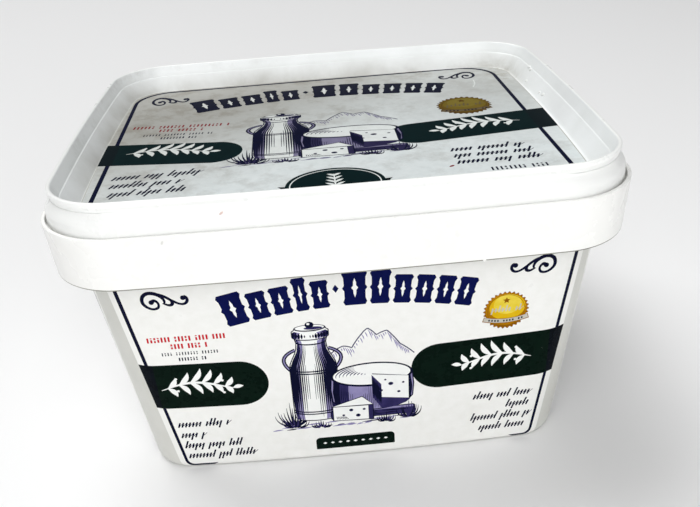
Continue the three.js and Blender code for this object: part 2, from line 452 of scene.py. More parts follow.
def add_tub():
    """The tub with its foot ring, wall, flange, collar and the rim inside the lid."""
    seat = COLLAR_TOP - SEAT_DEPTH
    flange = seat - FLANGE_THICKNESS
    foot_inset, foot_radius = wall_level(0)
    profile = [
        at(foot_inset + FOOT_WIDTH + FOOT_HEIGHT, FOOT_HEIGHT, foot_radius - FOOT_WIDTH + FOOT_HEIGHT),
        at(foot_inset + FOOT_WIDTH, 0, foot_radius - FOOT_WIDTH + 2 * FOOT_HEIGHT, EDGE_EASE),
    ]
    for i in range(FILLET_STEPS + 1):
        height = BASE_FILLET * (1 - math.cos(i / FILLET_STEPS * math.pi / 2))
        inset, radius = wall_level(height)
        profile.append(at(inset, height, radius))
    for share in (0.25, 0.5, 0.75, 1.0):
        height = COLLAR_BOTTOM * share
        inset, radius = wall_level(height)
        profile.append(at(inset, height, radius))
    profile += [
        at(wall_level(flange)[0], flange, wall_level(flange)[1], EDGE_EASE),
        at(collar_inset(flange) + COLLAR_THICKNESS, flange, None, EDGE_EASE),
        at(collar_inset(COLLAR_BOTTOM) + COLLAR_THICKNESS, COLLAR_BOTTOM, None, EDGE_EASE),
        at(collar_inset(COLLAR_BOTTOM), COLLAR_BOTTOM, None, EDGE_EASE),
        at(collar_inset(LIP_TOP), LIP_TOP),
        at(collar_inset(COLLAR_TOP), COLLAR_TOP, None, EDGE_EASE * 1.4),
        at(collar_inset(COLLAR_TOP) + COLLAR_THICKNESS, COLLAR_TOP, None, EDGE_EASE),
        at(collar_inset(COLLAR_TOP) + COLLAR_THICKNESS, seat, None, EDGE_EASE),
        at(0.3, seat),
        at(0.5, RIM_TOP, None, EDGE_EASE),
        at(2.1, RIM_TOP, None, EDGE_EASE),
        at(4.6, CORE_TOP),
    ]
    return carried_round("tub_moulding", FOOT_HEIGHT, profile, CORE_TOP, tub_tone)


tub = add_tub()
for plastic in (collar_plastic, wall_plastic_with_painted_shade, lip_plastic_painted_shade):
    tub.data.materials.append(plastic)
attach(tub, "root")
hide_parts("tub")
print("tub faces:", len(tub.data.polygons))

# %% [markdown]
# ## The lid
#
# Seen from outside, the lid is a thin round bead on top, a neck under it and a skirt that
# swells out towards the collar. Inside, two sloping facets with a small ledge between them
# lead down to the panel. The skirt's corners have a larger radius than the collar's, so a
# dark gap opens at each corner.

# %% Lid
LID_THICKNESS = 1.1
CREST_WIDTH = 1.0
NECK_INSET = 0.55
NECK_HEIGHT = 92.9
SKIRT_INSET = -1.8
SKIRT_CORNER_EXTRA = 1.2
LEDGE_INSET = 2.7
LEDGE_HEIGHT = 91.8
PANEL_INSET = 6.4
CLEARANCE = 0.35
TUCK_HEIGHT = RIM_TOP + 0.7


def lid_tone(inset, height):
    """Material number: 1 for the facets round the panel, 0 for the rest."""
    above = height - PANEL_TOP + 0.01
    return int(inset > CREST_WIDTH and above > max(0.0, PANEL_INSET - inset))


def add_lid():
    """The lid: underside first, then skirt, neck, crest, facets and panel."""
    foot = COLLAR_TOP - SEAT_DEPTH + CLEARANCE
    swell = CREST_CORNER_RADIUS - SKIRT_INSET + SKIRT_CORNER_EXTRA
    inner = SKIRT_INSET + LID_THICKNESS
    profile = [
        at(5.65, PANEL_TOP - LID_THICKNESS),
        at(2.0, TUCK_HEIGHT),
        at(NECK_INSET, TUCK_HEIGHT),
        at(0.15, 90.2),
        at(inner, 87.6, swell - LID_THICKNESS),
        at(inner, foot, swell - LID_THICKNESS),
        at(SKIRT_INSET + 0.25, foot, swell - 0.25, 0.2),
        at(SKIRT_INSET, 87.3, swell, 1.2),
        at(-1.05, 90.4, CREST_CORNER_RADIUS + 1.25, 1.2),
        at(0.3, 92.1, None, 0.5),
        at(NECK_INSET, NECK_HEIGHT, None, 0.35),
        at(0.0, 93.9, None, 0.25),
        at(0.0, CREST_TOP, None, 0.45),
        at(CREST_WIDTH, CREST_TOP, None, 0.4),
        at(LEDGE_INSET, LEDGE_HEIGHT, None, 0.12),
        at(LEDGE_INSET + 0.25, LEDGE_HEIGHT - 0.12, None, 0.12),
        at(PANEL_INSET, PANEL_TOP, None, 0.3),
        at(PANEL_INSET + 0.8, PANEL_TOP),
    ]
    return carried_round("lid_moulding", PANEL_TOP - LID_THICKNESS, profile, PANEL_TOP, lid_tone)


lid = add_lid()
for plastic in (lid_plastic, sunk_plastic):
    lid.data.materials.append(plastic)
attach(lid, "root")
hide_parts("lid")
print("lid faces:", len(lid.data.polygons))

# %% [markdown]
# ## How the print is made
#
# A label is printed flat, so each one is drawn flat here: a list of inks and closed outlines
# in millimetres, in printing order. A constrained Delaunay triangulation cuts the sheet
# along all of these outlines at once. Each triangle then takes the ink that was printed last
# on it, so inks never lie over each other and nothing flickers. The sheet is bent onto the
# wall and closed to a film a tenth of a millimetre thick.

# %% Film maker
FILM_PROUD = 0.05
FILM_SUNK = 0.06
SLOPE_STEP = 0.01


def bent(surface, u, v, lift):
    """The point of a surface at (u, v), moved out along the surface's own normal."""
    here = Vector(surface(u, v))
    across = Vector(surface(u + SLOPE_STEP, v)) - here
    up = Vector(surface(u, v + SLOPE_STEP)) - here
    return here + across.cross(up).normalized() * lift


def inside(places, shape):
    """Which places lie inside an outline, by how often it winds round each of them."""
    points = np.array(shape)
    low, high = points.min(axis=0), points.max(axis=0)
    near = np.flatnonzero(((places > low) & (places < high)).all(axis=1))
    x, y = places[near, 0][:, None], places[near, 1][:, None]
    x0, y0 = points[:, 0], points[:, 1]
    x1, y1 = np.roll(x0, -1), np.roll(y0, -1)
    left = (x1 - x0) * (y - y0) - (x - x0) * (y1 - y0)
    upward = ((y0 <= y) & (y1 > y) & (left > 0)).sum(axis=1)
    downward = ((y0 > y) & (y1 <= y) & (left < 0)).sum(axis=1)
    turns = upward - downward
    result = np.zeros(len(places), dtype=bool)
    result[near[turns != 0]] = True
    return result


def printed_film(name, sheet, inks, surface, cuts=()):
    """Turns a flat sheet of (ink, outline) into a thin closed film on a surface.

    The first outline is the film itself, and the others are clipped by it. cuts are extra
    lines across the sheet, which let it follow a curved wall."""
    points, edges = [], []
    for shape in [outline_points for _, outline_points in sheet] + [list(cut) for cut in cuts]:
        first, count = len(points), len(shape)
        closed = count if count > 2 else 1
        edges += [(first + i, first + (i + 1) % count) for i in range(closed)]
        points += [Vector(p) for p in shape]
    flat, _, triangles, _, _, _ = delaunay_2d_cdt(points, edges, [], 0, 1e-4, False)
    places = np.array([tuple(p) for p in flat])
    corners = np.array([tuple(t) for t in triangles])
    middles = places[corners].mean(axis=1)
    top_shape = np.full(len(corners), -1)
    for number, (_, shape) in enumerate(sheet):
        top_shape[inside(middles, shape)] = number
    on_film = inside(middles, sheet[0][1])
    names = list(inks)
    ink_of = [names.index(ink) for ink, _ in sheet]
    kept, slots = [], []
    for (a, b, c), number in zip(corners[on_film].tolist(), top_shape[on_film].tolist()):
        kept.append((a, b, c) if (flat[b] - flat[a]).cross(flat[c] - flat[a]) > 0 else (a, c, b))
        slots.append(ink_of[number])
    used = sorted({i for face in kept for i in face})
    order = {old: new for new, old in enumerate(used)}
    kept = [tuple(order[i] for i in face) for face in kept]
    count = len(used)
    vertices = [bent(surface, *flat[i], FILM_PROUD) for i in used]
    vertices += [bent(surface, *flat[i], -FILM_SUNK) for i in used]
    directed = {(face[i], face[(i + 1) % 3]): slot for face, slot in zip(kept, slots) for i in range(3)}
    rim = [(a, b) for a, b in directed if (b, a) not in directed]
    back = [tuple(i + count for i in reversed(face)) for face in kept]
    sides = [(b, a, a + count, b + count) for a, b in rim]
    film = mesh_object(name, vertices, kept + back + sides)
    film.data.polygons.foreach_set("material_index", slots + slots + [directed[e] for e in rim])
    sharp = {frozenset(e) for e in rim} | {frozenset((a + count, b + count)) for a, b in rim}
    flags = [frozenset(e.vertices) in sharp for e in film.data.edges]
    film.data.attributes.new("sharp_edge", "BOOLEAN", "EDGE").data.foreach_set("value", flags)
    for ink in names:
        film.data.materials.append(inks[ink])
    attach(film, "root")
    print(name, "shapes:", len(sheet), "triangles:", 2 * len(kept) + 2 * len(rim))


# %% [markdown]
# ## Printing inks
#
# The film is cast polypropylene too, white on its own and printed in solid spot colours. A
# solid ink is never quite even: its density drifts over a few millimetres. The lid's film
# has been stacked and rubbed, so its white carries grey smears. Painted shade is added to it:
# its white is darker than the walls' film, a grey haze thickens towards the back left, and
# grey spreads from the back right corner, where it is partly dirt. Its inks are a second,
# darker and duller set, which is painted shade as well as rubbed wear.

# %% Ink materials
DRIFT_MM = 3.0
DRIFT_STOPS = (0.35, 0.70)
GLOSS_SWING = 0.06
SMEAR_MM = 11.0
SMEAR_RANGE = (0.48, 0.74)
# On the lid's film: smears, and painted shade as a haze and as grey spreading from the back right corner.
SMEAR_AND_SHADE_GREY = "#8f8c83"
HAZE_SHADE_FROM = -16.0
HAZE_SHADE_TO = 42.0
HAZE_SHADE_GAIN = 1.6
FILM_DIRT_AND_SHADE_REACH = 84.0
FILM_DIRT_AND_SHADE_GAIN = 2.9


def film_ink(name, full, thin, roughness, smear_and_shade=0.0, mirror=0.5):
    """A printed or bare area of film: density that drifts, and grey smears if it was rubbed.

    Where there are smears, painted shade is added too: a grey haze that thickens towards the back left of the
    lid, and grey spreading from the back right corner, partly dirt."""
    material, shader = new_material(name)
    shader.inputs["Specular IOR Level"].default_value = mirror
    shader.inputs["IOR"].default_value = PP_IOR
    place = node(material, "ShaderNodeTexCoord").outputs["Object"]
    drift = node(material, "ShaderNodeTexNoise", [(place, "Vector")],
                 Scale=1 / (DRIFT_MM * MM), Detail=4.0, Roughness=0.6)
    colour = node(material, "ShaderNodeValToRGB", [(drift.outputs["Fac"], "Fac")])
    for stop, position, tone in zip(colour.color_ramp.elements, DRIFT_STOPS, (full, thin)):
        stop.position, stop.color = position, linear(tone)
    gloss = node(material, "ShaderNodeMapRange", [(drift.outputs["Fac"], "Value")],
                 To_Min=roughness - GLOSS_SWING, To_Max=roughness + GLOSS_SWING)
    join = material.node_tree.links.new
    shown = colour.outputs["Color"]
    if smear_and_shade:
        rubbed = node(material, "ShaderNodeTexNoise", [(place, "Vector")],
                      Scale=1 / (SMEAR_MM * MM), Detail=7.0, Roughness=0.74)
        patch = node(material, "ShaderNodeMapRange", [(rubbed.outputs["Fac"], "Value")],
                     From_Min=SMEAR_RANGE[0], From_Max=SMEAR_RANGE[1], To_Max=smear_and_shade)
        along = node(material, "ShaderNodeVectorMath", [(place, 0)], operation="DOT_PRODUCT")
        along.inputs[1].default_value = SHADE_AND_DUST_ALONG
        # Painted shade: a grey haze that thickens towards the back left.
        haze = node(material, "ShaderNodeMapRange", [(along.outputs["Value"], "Value")],
                    From_Min=HAZE_SHADE_FROM * MM, From_Max=HAZE_SHADE_TO * MM, To_Max=smear_and_shade * HAZE_SHADE_GAIN)
        dust = node(material, "ShaderNodeMath",
                    [(patch.outputs["Result"], 0), (haze.outputs["Result"], 1)], operation="ADD")
        # Grey from the back right corner: dirt close to it, painted shade over the rest of the panel.
        dirt = corner_dirt(material, place, rubbed, smear_and_shade * FILM_DIRT_AND_SHADE_GAIN, FILM_DIRT_AND_SHADE_REACH)
        thicker = node(material, "ShaderNodeMath",
                       [(dust.outputs["Value"], 0), (dirt, 1)], operation="MAXIMUM")
        grey = node(material, "ShaderNodeMix", [(thicker.outputs["Value"], "Factor")], data_type="RGBA")
        grey.inputs["B"].default_value = linear(SMEAR_AND_SHADE_GREY)
        join(shown, grey.inputs["A"])
        shown = grey.outputs["Result"]
    join(shown, shader.inputs["Base Color"])
    join(gloss.outputs["Result"], shader.inputs["Roughness"])
    return material


INK_MIRROR = 0.03
RUBBED_MIRROR = 0.01
BARE_MIRROR = 0.5
INK_TONES = {
    "navy": ("navy_ink_gravure", "#050c40", "#08114a", 0.30),
    "line": ("blue_black_ink_line", "#070a24", "#0a0e2c", 0.30),
    "green": ("dark_green_ink_gravure", "#03120c", "#051810", 0.28),
    "end": ("green_over_navy_ink", "#040910", "#070d16", 0.28),
    "red": ("red_ink_gravure", "#b80f1d", "#c41c2a", 0.32),
    "lavender": ("lavender_ink_tint", "#827ca6", "#918bb4", 0.32),
    "violet": ("violet_ink_tint", "#28244f", "#332e5c", 0.32),
    "bronze": ("gold_ink_dark", "#855406", "#8f5d09", 0.26),
    "amber": ("gold_ink_mid", "#a36c06", "#ae760a", 0.26),
    "gold": ("gold_ink_light", "#d2a912", "#dab31a", 0.26),
    "straw": ("gold_ink_pale", "#dcc236", "#e5cf50", 0.26),
    "silver": ("silver_grey_ink", "#b9b6aa", "#c3c0b5", 0.30),
    "dun": ("brown_grey_ink", "#7b6a4d", "#8c7c5e", 0.32),
}
wall_inks = {"film": film_ink("white_film_cast_pp", "#efefec", "#eaeae6", 0.30, mirror=BARE_MIRROR)}
for ink, tones in INK_TONES.items():
    wall_inks[ink] = film_ink(*tones, mirror=INK_MIRROR)
wall_inks["pale"] = film_ink("white_ink_reserved", "#f1f2f0", "#eceeec", 0.30, mirror=BARE_MIRROR)
# The lid's inks are darker copies of the walls' inks: painted shade for the less lit lid, and rubbed wear.
LID_TONES_SHADED_AND_AGED = {
    "navy": ("#070b20", "#0a0f28"),
    "line": ("#0b0e25", "#0d112d"),
    "green": ("#081a1c", "#0b1f21"),
    "end": ("#0a1418", "#0d181c"),
    "red": ("#761824", "#82222e"),
    "lavender": ("#6f6b86", "#7c7893"),
    "violet": ("#262341", "#302c4c"),
    "bronze": ("#4b360f", "#563d13"),
    "amber": ("#5d4917", "#65501c"),
    "gold": ("#67571c", "#705f23"),
    "straw": ("#706224", "#796b2d"),
    "silver": ("#afaca1", "#b8b5ab"),
    "dun": ("#5b4f38", "#665a41"),
}
LID_ROUGHNESS = 0.36
lid_inks = {
    # The lid's white is darker than the walls' film as painted shade, and partly rubbed.
    "film": film_ink("white_film_cast_pp_rubbed_painted_shade", "#dde3e3", "#d3dada", LID_ROUGHNESS, 0.5, BARE_MIRROR),
    "pale": film_ink("white_ink_rubbed_painted_shade", "#e4e9e7", "#dadfdd", LID_ROUGHNESS, 0.2, BARE_MIRROR),
    "grime": film_ink("brown_grey_grime", "#857a64", "#a09a8a", 0.6, mirror=RUBBED_MIRROR),
    "trace": film_ink("grey_edge_trace", "#b0b0aa", "#bcbdb8", 0.6, mirror=RUBBED_MIRROR),
}
for ink, (full, thin) in LID_TONES_SHADED_AND_AGED.items():
    aged_painted_shade = INK_TONES[ink][0] + "_aged"
    lid_inks[ink] = film_ink(aged_painted_shade, full, thin, LID_ROUGHNESS, mirror=RUBBED_MIRROR)
print("inks on the walls:", len(wall_inks), "on the lid:", len(lid_inks))

# %% [markdown]
# ## Drawing with outlines
#
# A few helpers draw everything on the sheets. A disc, a panel with round corners and a
# ribbon, which may swell and taper, each return one closed outline. A stroke is a ribbon
# together with its ink. Whole groups of shapes can be mirrored, placed and tilted.

# %% Drawing helpers
def disc(x, y, rx, ry=None, steps=20, turn=0.0):
    """An ellipse, turned by an angle in degrees."""
    ry = rx if ry is None else ry
    c, s = math.cos(math.radians(turn)), math.sin(math.radians(turn))
    angles = [2 * math.pi * i / steps for i in range(steps)]
    return [(x + rx * math.cos(a) * c - ry * math.sin(a) * s,
             y + rx * math.cos(a) * s + ry * math.sin(a) * c) for a in angles]


def panel(left, low, right, high, radius, steps=5):
    """A rectangle with round corners."""
    points = []
    for quarter, (x, y) in enumerate([(right - radius, high - radius), (left + radius, high - radius),
                                      (left + radius, low + radius), (right - radius, low + radius)]):
        for i in range(steps + 1):
            a = (quarter + i / steps) * math.pi / 2
            points.append((x + radius * math.cos(a), y + radius * math.sin(a)))
    return points


def ribbon(path, widths):
    """A stroke along a path. widths has one full width for each point, or one for all."""
    if not isinstance(widths, (list, tuple)):
        widths = [widths] * len(path)
    left, right = [], []
    for i, (x, y) in enumerate(path):
        x0, y0 = path[max(i - 1, 0)]
        x1, y1 = path[min(i + 1, len(path) - 1)]
        run = math.hypot(x1 - x0, y1 - y0) or 1.0
        nx, ny = -(y1 - y0) / run * widths[i] / 2, (x1 - x0) / run * widths[i] / 2
        left.append((x + nx, y + ny))
        right.append((x - nx, y - ny))
    return left + right[::-1]


def stroke(ink, path, most, least=0.08):
    """A pen stroke in one ink along a path: it starts fine, swells and ends fine."""
    count = len(path)
    widths = [least + (most - least) * math.sin(math.pi * i / (count - 1)) for i in range(count)]
    return ink, ribbon(path, widths)


def pen(points, steps=5):
    """A smooth stroke through a few (x, y, width) points."""
    ends = [points[0]] + list(points) + [points[-1]]
    path = []
    for p0, p1, p2, p3 in zip(ends, ends[1:], ends[2:], ends[3:]):
        for i in range(steps):
            t = i / steps
            path.append([0.5 * (2 * b + (c - a) * t + (2 * a - 5 * b + 4 * c - d) * t * t
                                + (3 * b - a - 3 * c + d) * t ** 3)
                         for a, b, c, d in zip(p0, p1, p2, p3)])
    path.append(list(points[-1]))
    return ribbon([(x, y) for x, y, _ in path], [w for _, _, w in path])


def bow(x0, y0, x1, y1, sag, count=7):
    """A path from one point to another that bends to its left by sag."""
    run = math.hypot(x1 - x0, y1 - y0)
    nx, ny = -(y1 - y0) / run, (x1 - x0) / run
    path = []
    for i in range(count):
        t = i / (count - 1)
        lift = sag * 4 * t * (1 - t)
        path.append((x0 + (x1 - x0) * t + nx * lift, y0 + (y1 - y0) * t + ny * lift))
    return path


def mirrored(shapes):
    """The same shapes on the other side of the upright middle line."""
    return [(ink, [(-x, y) for x, y in reversed(shape)]) for ink, shape in shapes]


def placed(shapes, x, y, sx=1.0, sy=None):
    """Shapes scaled about their own origin and then moved."""
    sy = sx if sy is None else sy
    return [(ink, [(x + px * sx, y + py * sy) for px, py in shape]) for ink, shape in shapes]


def tilted(shapes, degrees, pivot=(0.0, 0.0)):
    """Shapes turned about a pivot."""
    c, s = math.cos(math.radians(degrees)), math.sin(math.radians(degrees))
    px, py = pivot
    return [(ink, [(px + (x - px) * c - (y - py) * s, py + (x - px) * s + (y - py) * c)
                   for x, y in shape]) for ink, shape in shapes]


print("a disc has", len(disc(0, 0, 1)), "points")

# %% [markdown]
# ## The title arch
#
# The heading is a heavy band of tall navy blocks on an arch, and they fan out from one
# centre. Each is drawn upright first, as a block with flared ends, spurs at mid height and a
# narrow slit. Then its height becomes a radius and its place along the band an angle.

# %% Title arch
TITLE_BLOCKS = ((6.3, 1.0), (5.2, 0.86), (5.2, 0.86), (3.7, 1.03), (4.7, 0.86), (0, 0), (6.3, 1.06),
                (5.3, 1.04), (4.9, 0.88), (4.9, 0.88), (4.7, 0.88), (4.9, 0.88))
TITLE_GAP = 0.7
WORD_GAP = 2.0
SLIT_SHARE = 0.06
BLOCK_EDGE = ((0.5, 0.0), (0.0, 0.09), (0.42, 0.2), (0.45, 0.42), (-0.05, 0.5), (0.45, 0.58),
              (0.42, 0.8), (0.0, 0.91), (0.5, 1.0))
SLIT_EDGE = ((0.0, 0.22), (1.0, 0.34), (1.0, 0.43), (2.3, 0.5), (1.0, 0.57), (1.0, 0.66), (0.0, 0.78))


def title_block(left, width, height):
    """One upright block of the title: navy, with a pale slit."""
    block = [(left + width - w, height * r) for w, r in BLOCK_EDGE]
    block += [(left + w, height * r) for w, r in BLOCK_EDGE[::-1]]
    middle, half = left + width / 2, width * SLIT_SHARE
    slit = [(middle + half * w, height * r) for w, r in SLIT_EDGE]
    slit += [(middle - half * w, height * r) for w, r in SLIT_EDGE[-2:0:-1]]
    return [("navy", block), ("pale", slit)]


def title_arch(width, height, foot, radius, middle=0.0):
    """The band of blocks on an arch whose lowest line is a circle of that radius."""
    total = sum(w or WORD_GAP for w, _ in TITLE_BLOCKS) + TITLE_GAP * (len(TITLE_BLOCKS) - 1)
    stretch = width / total
    shapes, at_now = [], -width / 2
    for w, share in TITLE_BLOCKS:
        if w:
            shapes += title_block(at_now, w * stretch, height * share)
        else:
            centre = at_now + WORD_GAP / 2 * stretch
            shapes.append(("navy", disc(centre, height * 0.55, 0.8 * stretch, 1.3 * stretch, 4)))
        at_now += ((w or WORD_GAP) + TITLE_GAP) * stretch

    def arched(along, h):
        angle, reach = along / radius, radius + h
        return middle + reach * math.sin(angle), foot - radius + reach * math.cos(angle)

    return [(ink, [arched(*point) for point in shape]) for ink, shape in shapes]


print("title blocks:", len([w for w, _ in TITLE_BLOCKS if w]))

# %% [markdown]
# ## Small text as texture
#
# The pack's small print isn't copied. Rows of short strokes stand in its place: they have the
# same height, slant, density and colour, and break into groups as words do.

# %% Stroke rows
def stroke_row(ink, left, right, foot, tall, pitch, lean, seed, heavy=0.5):
    """Strokes in groups, from left to right on one foot line. Slanted ones get hairlines."""
    dice = random.Random(seed)
    body = tall * 0.62
    shapes, x, until_gap = [], left, dice.randint(4, 8)
    while x < right - pitch * 0.5:
        if until_gap == 0:
            x += pitch * 0.95
            until_gap = dice.randint(4, 9)
            continue
        until_gap -= 1
        kind = dice.random()
        rise = tall if kind < 0.2 else body
        drop = tall * 0.32 if kind > 0.9 else 0.0
        if lean:
            stem = [(x - lean * drop, foot - drop), (x + lean * rise, foot + rise)]
            shapes.append((ink, ribbon(stem, pitch * heavy)))
            if until_gap:
                hairline = [(x, foot + 0.05 * tall), (x + pitch + lean * body * 0.9, foot + body * 0.92)]
                shapes.append((ink, ribbon(hairline, pitch * 0.17)))
        else:
            breaks = dice.choice(((0.0, 1.0), (0.0, 1.0), (0.0, 0.4, 0.58, 1.0), (0.0, 0.62, 0.78, 1.0)))
            for low, high in zip(breaks[::2], breaks[1::2]):
                stem = [(x, foot + tall * low), (x, foot + tall * high)]
                shapes.append((ink, ribbon(stem, pitch * heavy)))
        x += pitch
    return shapes


sample_row = stroke_row("red", 0, 20, 0, 1.5, 0.9, 0.0, 1)
print("strokes in a 20 mm row:", len(sample_row))

# %% [markdown]
# ## Scroll, sprig and medal
#
# The corner scroll is a plain calligraphic one: a volute, a leaf and a tail with a ball. It
# is drawn as three pen strokes whose width swells on the downstroke. The banners carry a
# white branch, and the medal has a scalloped edge and stepped gold tones that lighten towards
# the top, as foil does under one lamp.

# %% Ornaments
VOLUTE = ((3.19, 2.12, 0.75), (3.72, 2.33, 0.57), (4.4, 1.84, 0.45), (4.67, 0.97, 0.45), (4.27, 0.14, 0.49),
          (3.11, -0.14, 0.45), (1.82, 0.33, 0.49), (0.8, 1.36, 0.57), (0.52, 2.52, 0.64), (0.91, 3.71, 0.68),
          (1.95, 4.43, 0.68), (3.28, 4.52, 0.68), (4.57, 4.1, 0.68), (5.56, 3.36, 0.57), (6.16, 2.55, 0.49),
          (6.33, 1.78, 0.45), (6.11, 1.38, 0.26))
LEAF = ((5.72, 1.34, 0.11), (6.24, 1.19, 0.34), (6.97, 0.83, 0.42), (7.72, 0.73, 0.53), (8.28, 1.1, 0.64),
        (8.27, 1.73, 0.57), (7.85, 2.42, 0.45), (7.14, 3.08, 0.34), (6.25, 3.72, 0.26), (5.15, 4.18, 0.3))
TAIL = ((4.59, 4.28, 0.38), (5.68, 3.76, 0.42), (6.95, 2.97, 0.42), (8.21, 2.11, 0.49), (9.29, 1.4, 0.45),
        (10.2, 0.96, 0.42), (11.13, 0.81, 0.45), (11.92, 1.16, 0.53), (12.35, 1.89, 0.57), (12.13, 2.66, 0.6),
        (11.53, 2.99, 0.64))
SCROLL_BALLS = ((2.85, 1.86), (11.31, 2.63))
SCROLL_WEIGHT = 1.5


def corner_scroll():
    """A scroll about 12 mm long and 5 mm high, with its volute on the left."""
    shapes = []
    for points in (VOLUTE, LEAF, TAIL):
        shapes.append(("line", pen([(x, y, SCROLL_WEIGHT * w) for x, y, w in points])))
    return shapes + [("line", disc(x, y, 0.7, 0.68, 16)) for x, y in SCROLL_BALLS]


def branch(length, rise, leaves):
    """A waving pale stem with large leaves on both sides and a berry at each second pair."""
    def stem(t):
        return length * t, rise * 0.32 * math.sin(t * 1.35 * math.pi - 0.3)

    shapes = [stroke("pale", [stem(i / 20) for i in range(21)], 0.8, 0.2)]
    for k in range(leaves):
        t = (k + 0.55) / (leaves + 0.35)
        x, y = stem(t)
        for side in (1, -1):
            reach = rise * (0.95 - 0.75 * abs(t - 0.42)) * (1.0 if side > 0 else 0.88)
            leaf = bow(x, y, x + reach * 0.72, y + side * reach, side * -0.16 * reach, 9)
            shapes.append(stroke("pale", leaf, 0.30 * rise, 0.1))
            if k % 2:
                shapes.append(("pale", disc(x - 0.4, y + side * rise * 0.42, 0.42, steps=12)))
    x, y = stem(1.0)
    tip = bow(x - 0.3, y, x + rise * 0.5, y + 0.5, 0.2, 9)
    return shapes + [stroke("pale", tip, 0.26 * rise, 0.1)]


def sprig(length, leaves):
    """A straight pale stem with paired leaves, from left to right."""
    shapes = [("pale", ribbon([(0, 0), (length * 0.5, 0), (length, 0)], [0.2, 0.5, 0.3]))]
    for k in range(leaves):
        x = length * (k + 0.7) / (leaves + 0.4)
        reach = 2.9 - 1.2 * k / leaves
        for side in (1, -1):
            shapes.append(stroke("pale", bow(x, 0, x + reach * 0.95, side * reach, side * -0.35), 1.05))
    return shapes


def star(x, y, outer, inner, count):
    """A star with one point straight up."""
    turns = [((outer, inner)[i % 2], math.pi * i / count) for i in range(2 * count)]
    return [(x + reach * math.sin(turn), y + reach * math.cos(turn)) for reach, turn in turns]


def medal(radius, rubbed=False):
    """A scalloped gold medal: stepped tones, a ring, a row of marks, a ribbon and a star.

    On the lid the ribbon is worn shorter, and it and the row of strokes are a dull brown."""
    reserve = "dun" if rubbed else "silver"
    scallops, steps = 30, 240
    rim = []
    for i in range(steps):
        angle = 2 * math.pi * i / steps
        reach = radius * (0.955 + 0.045 * math.cos(scallops * angle))
        rim.append((reach * math.cos(angle), reach * math.sin(angle)))
    shapes = [("bronze", rim), ("amber", disc(0, radius * 0.05, radius * 0.90, radius * 0.86, 48))]
    for ink, share, up in (("gold", 0.78, 0.16), ("straw", 0.60, 0.32)):
        shapes.append((ink, disc(radius * 0.05, radius * up, radius * share, radius * share * 0.86, 40)))
    ring = [disc(0, 0, radius * reach, steps=60) for reach in (0.82, 0.80)]
    shapes.append(("bronze", ring[0] + [ring[0][0], ring[1][0]] + ring[1][:0:-1]))
    shapes.append(("bronze", star(0, radius * 0.52, radius * 0.17, radius * 0.08, 5)))
    shapes += stroke_row(reserve, -radius * 0.62, radius * 0.7, -radius * 0.06,
                         radius * 0.34, radius * 0.15, 0.2, 7, 0.42)
    for ink, edge in (("bronze", 0.03), (reserve, 0.0)):
        reach = radius * ((0.87 if rubbed else 0.96) + edge)
        arc = bow(-reach, -radius * 0.40, reach, -radius * 0.40, -radius * 0.16, 15)
        shapes.append((ink, ribbon(arc, radius * (0.20 + 2 * edge))))
    for i in range(12):
        x = radius * (-0.72 + 0.13 * i)
        level = -radius * (0.40 + 0.16 * (1 - (x / radius) ** 2))
        if i % 5 != 4:
            mark = [(x, level - radius * 0.05), (x, level + radius * 0.05)]
            shapes.append(("line", ribbon(mark, radius * 0.07)))
    return shapes


print("scroll outlines:", len(corner_scroll()), "medal outlines:", len(medal(6.4)))

# %% [markdown]
# ## The engraved still life
#
# The middle of the label shows a picture in the manner of a wood engraving. This one is a
# milk churn, a cut wheel of cheese and a wedge on grass. An engraver shades with parallel
# lines that follow the form and swell where it turns dark. So each shaded body is described
# by its half width at each height, and a fan of lines is run over it from edge to edge.

# %% Engraved bodies
def interpolated(table, h):
    """A value from a short list of (height, value) pairs."""
    for (h0, v0), (h1, v1) in zip(table, table[1:]):
        if h <= h1:
            return v0 + (v1 - v0) * (h - h0) / (h1 - h0)
    return table[-1][1]


def engraved_round(x, y, table, dip, lines, light, seed,
                   base="pale", shade="lavender", deep="violet", weight=1.0):
    """A round body: an outline, a base tone, shaded sides and lines that follow the form."""
    dice = random.Random(seed)
    low, high = table[0][0], table[-1][0]
    levels = [low + (high - low) * i / 16 for i in range(17)]

    def spot(u, h):
        return x + u * interpolated(table, h), y + h - dip * math.sqrt(max(0.0, 1 - u * u))

    foot = [spot(-1 + i / 6, low) for i in range(13)]
    right = [spot(1, h) for h in levels[1:]]
    top = [(x + interpolated(table, high) * math.cos(math.pi * i / 12),
            y + high + dip * 0.8 * math.sin(math.pi * i / 12)) for i in range(1, 12)]
    left = [spot(-1, h) for h in reversed(levels[1:])]
    edge = foot + right + top + left
    shapes = [("line", ribbon(edge + edge[:2], 0.62 * weight)), (base, edge)]
    for start, end, tone in ((-0.97, -0.60, shade), (0.40, 0.97, shade),
                             (0.70, 0.97, deep), (-0.97, -0.82, deep)):
        strip = [spot(start, h) for h in levels] + [spot(end, h) for h in reversed(levels)]
        shapes.append((tone, strip))
    for k in range(lines):
        u = -0.96 + 1.92 * k / (lines - 1)
        dark = min(1.0, abs(u - light) ** 1.5 * 1.3)
        if dark < 0.05:
            continue
        begin = low + (high - low) * (0.01 + 0.08 * dice.random() + (0.22 if dark < 0.2 else 0))
        end = high - (high - low) * (0.01 + 0.10 * dice.random() + (0.26 if dark < 0.2 else 0))
        path = [spot(u, begin + (end - begin) * i / 10) for i in range(11)]
        most = (0.12 + 0.62 * dark) * (27 / lines) * weight
        shapes.append(stroke("line", path, min(most, 0.8)))
    return shapes


def hoop(x, y, half, dip):
    """A band round a round body, seen a little from above."""
    turns = [math.pi * i / 14 for i in range(15)]
    return "line", ribbon([(x - half * math.cos(t), y - dip * math.sin(t)) for t in turns], 0.42)


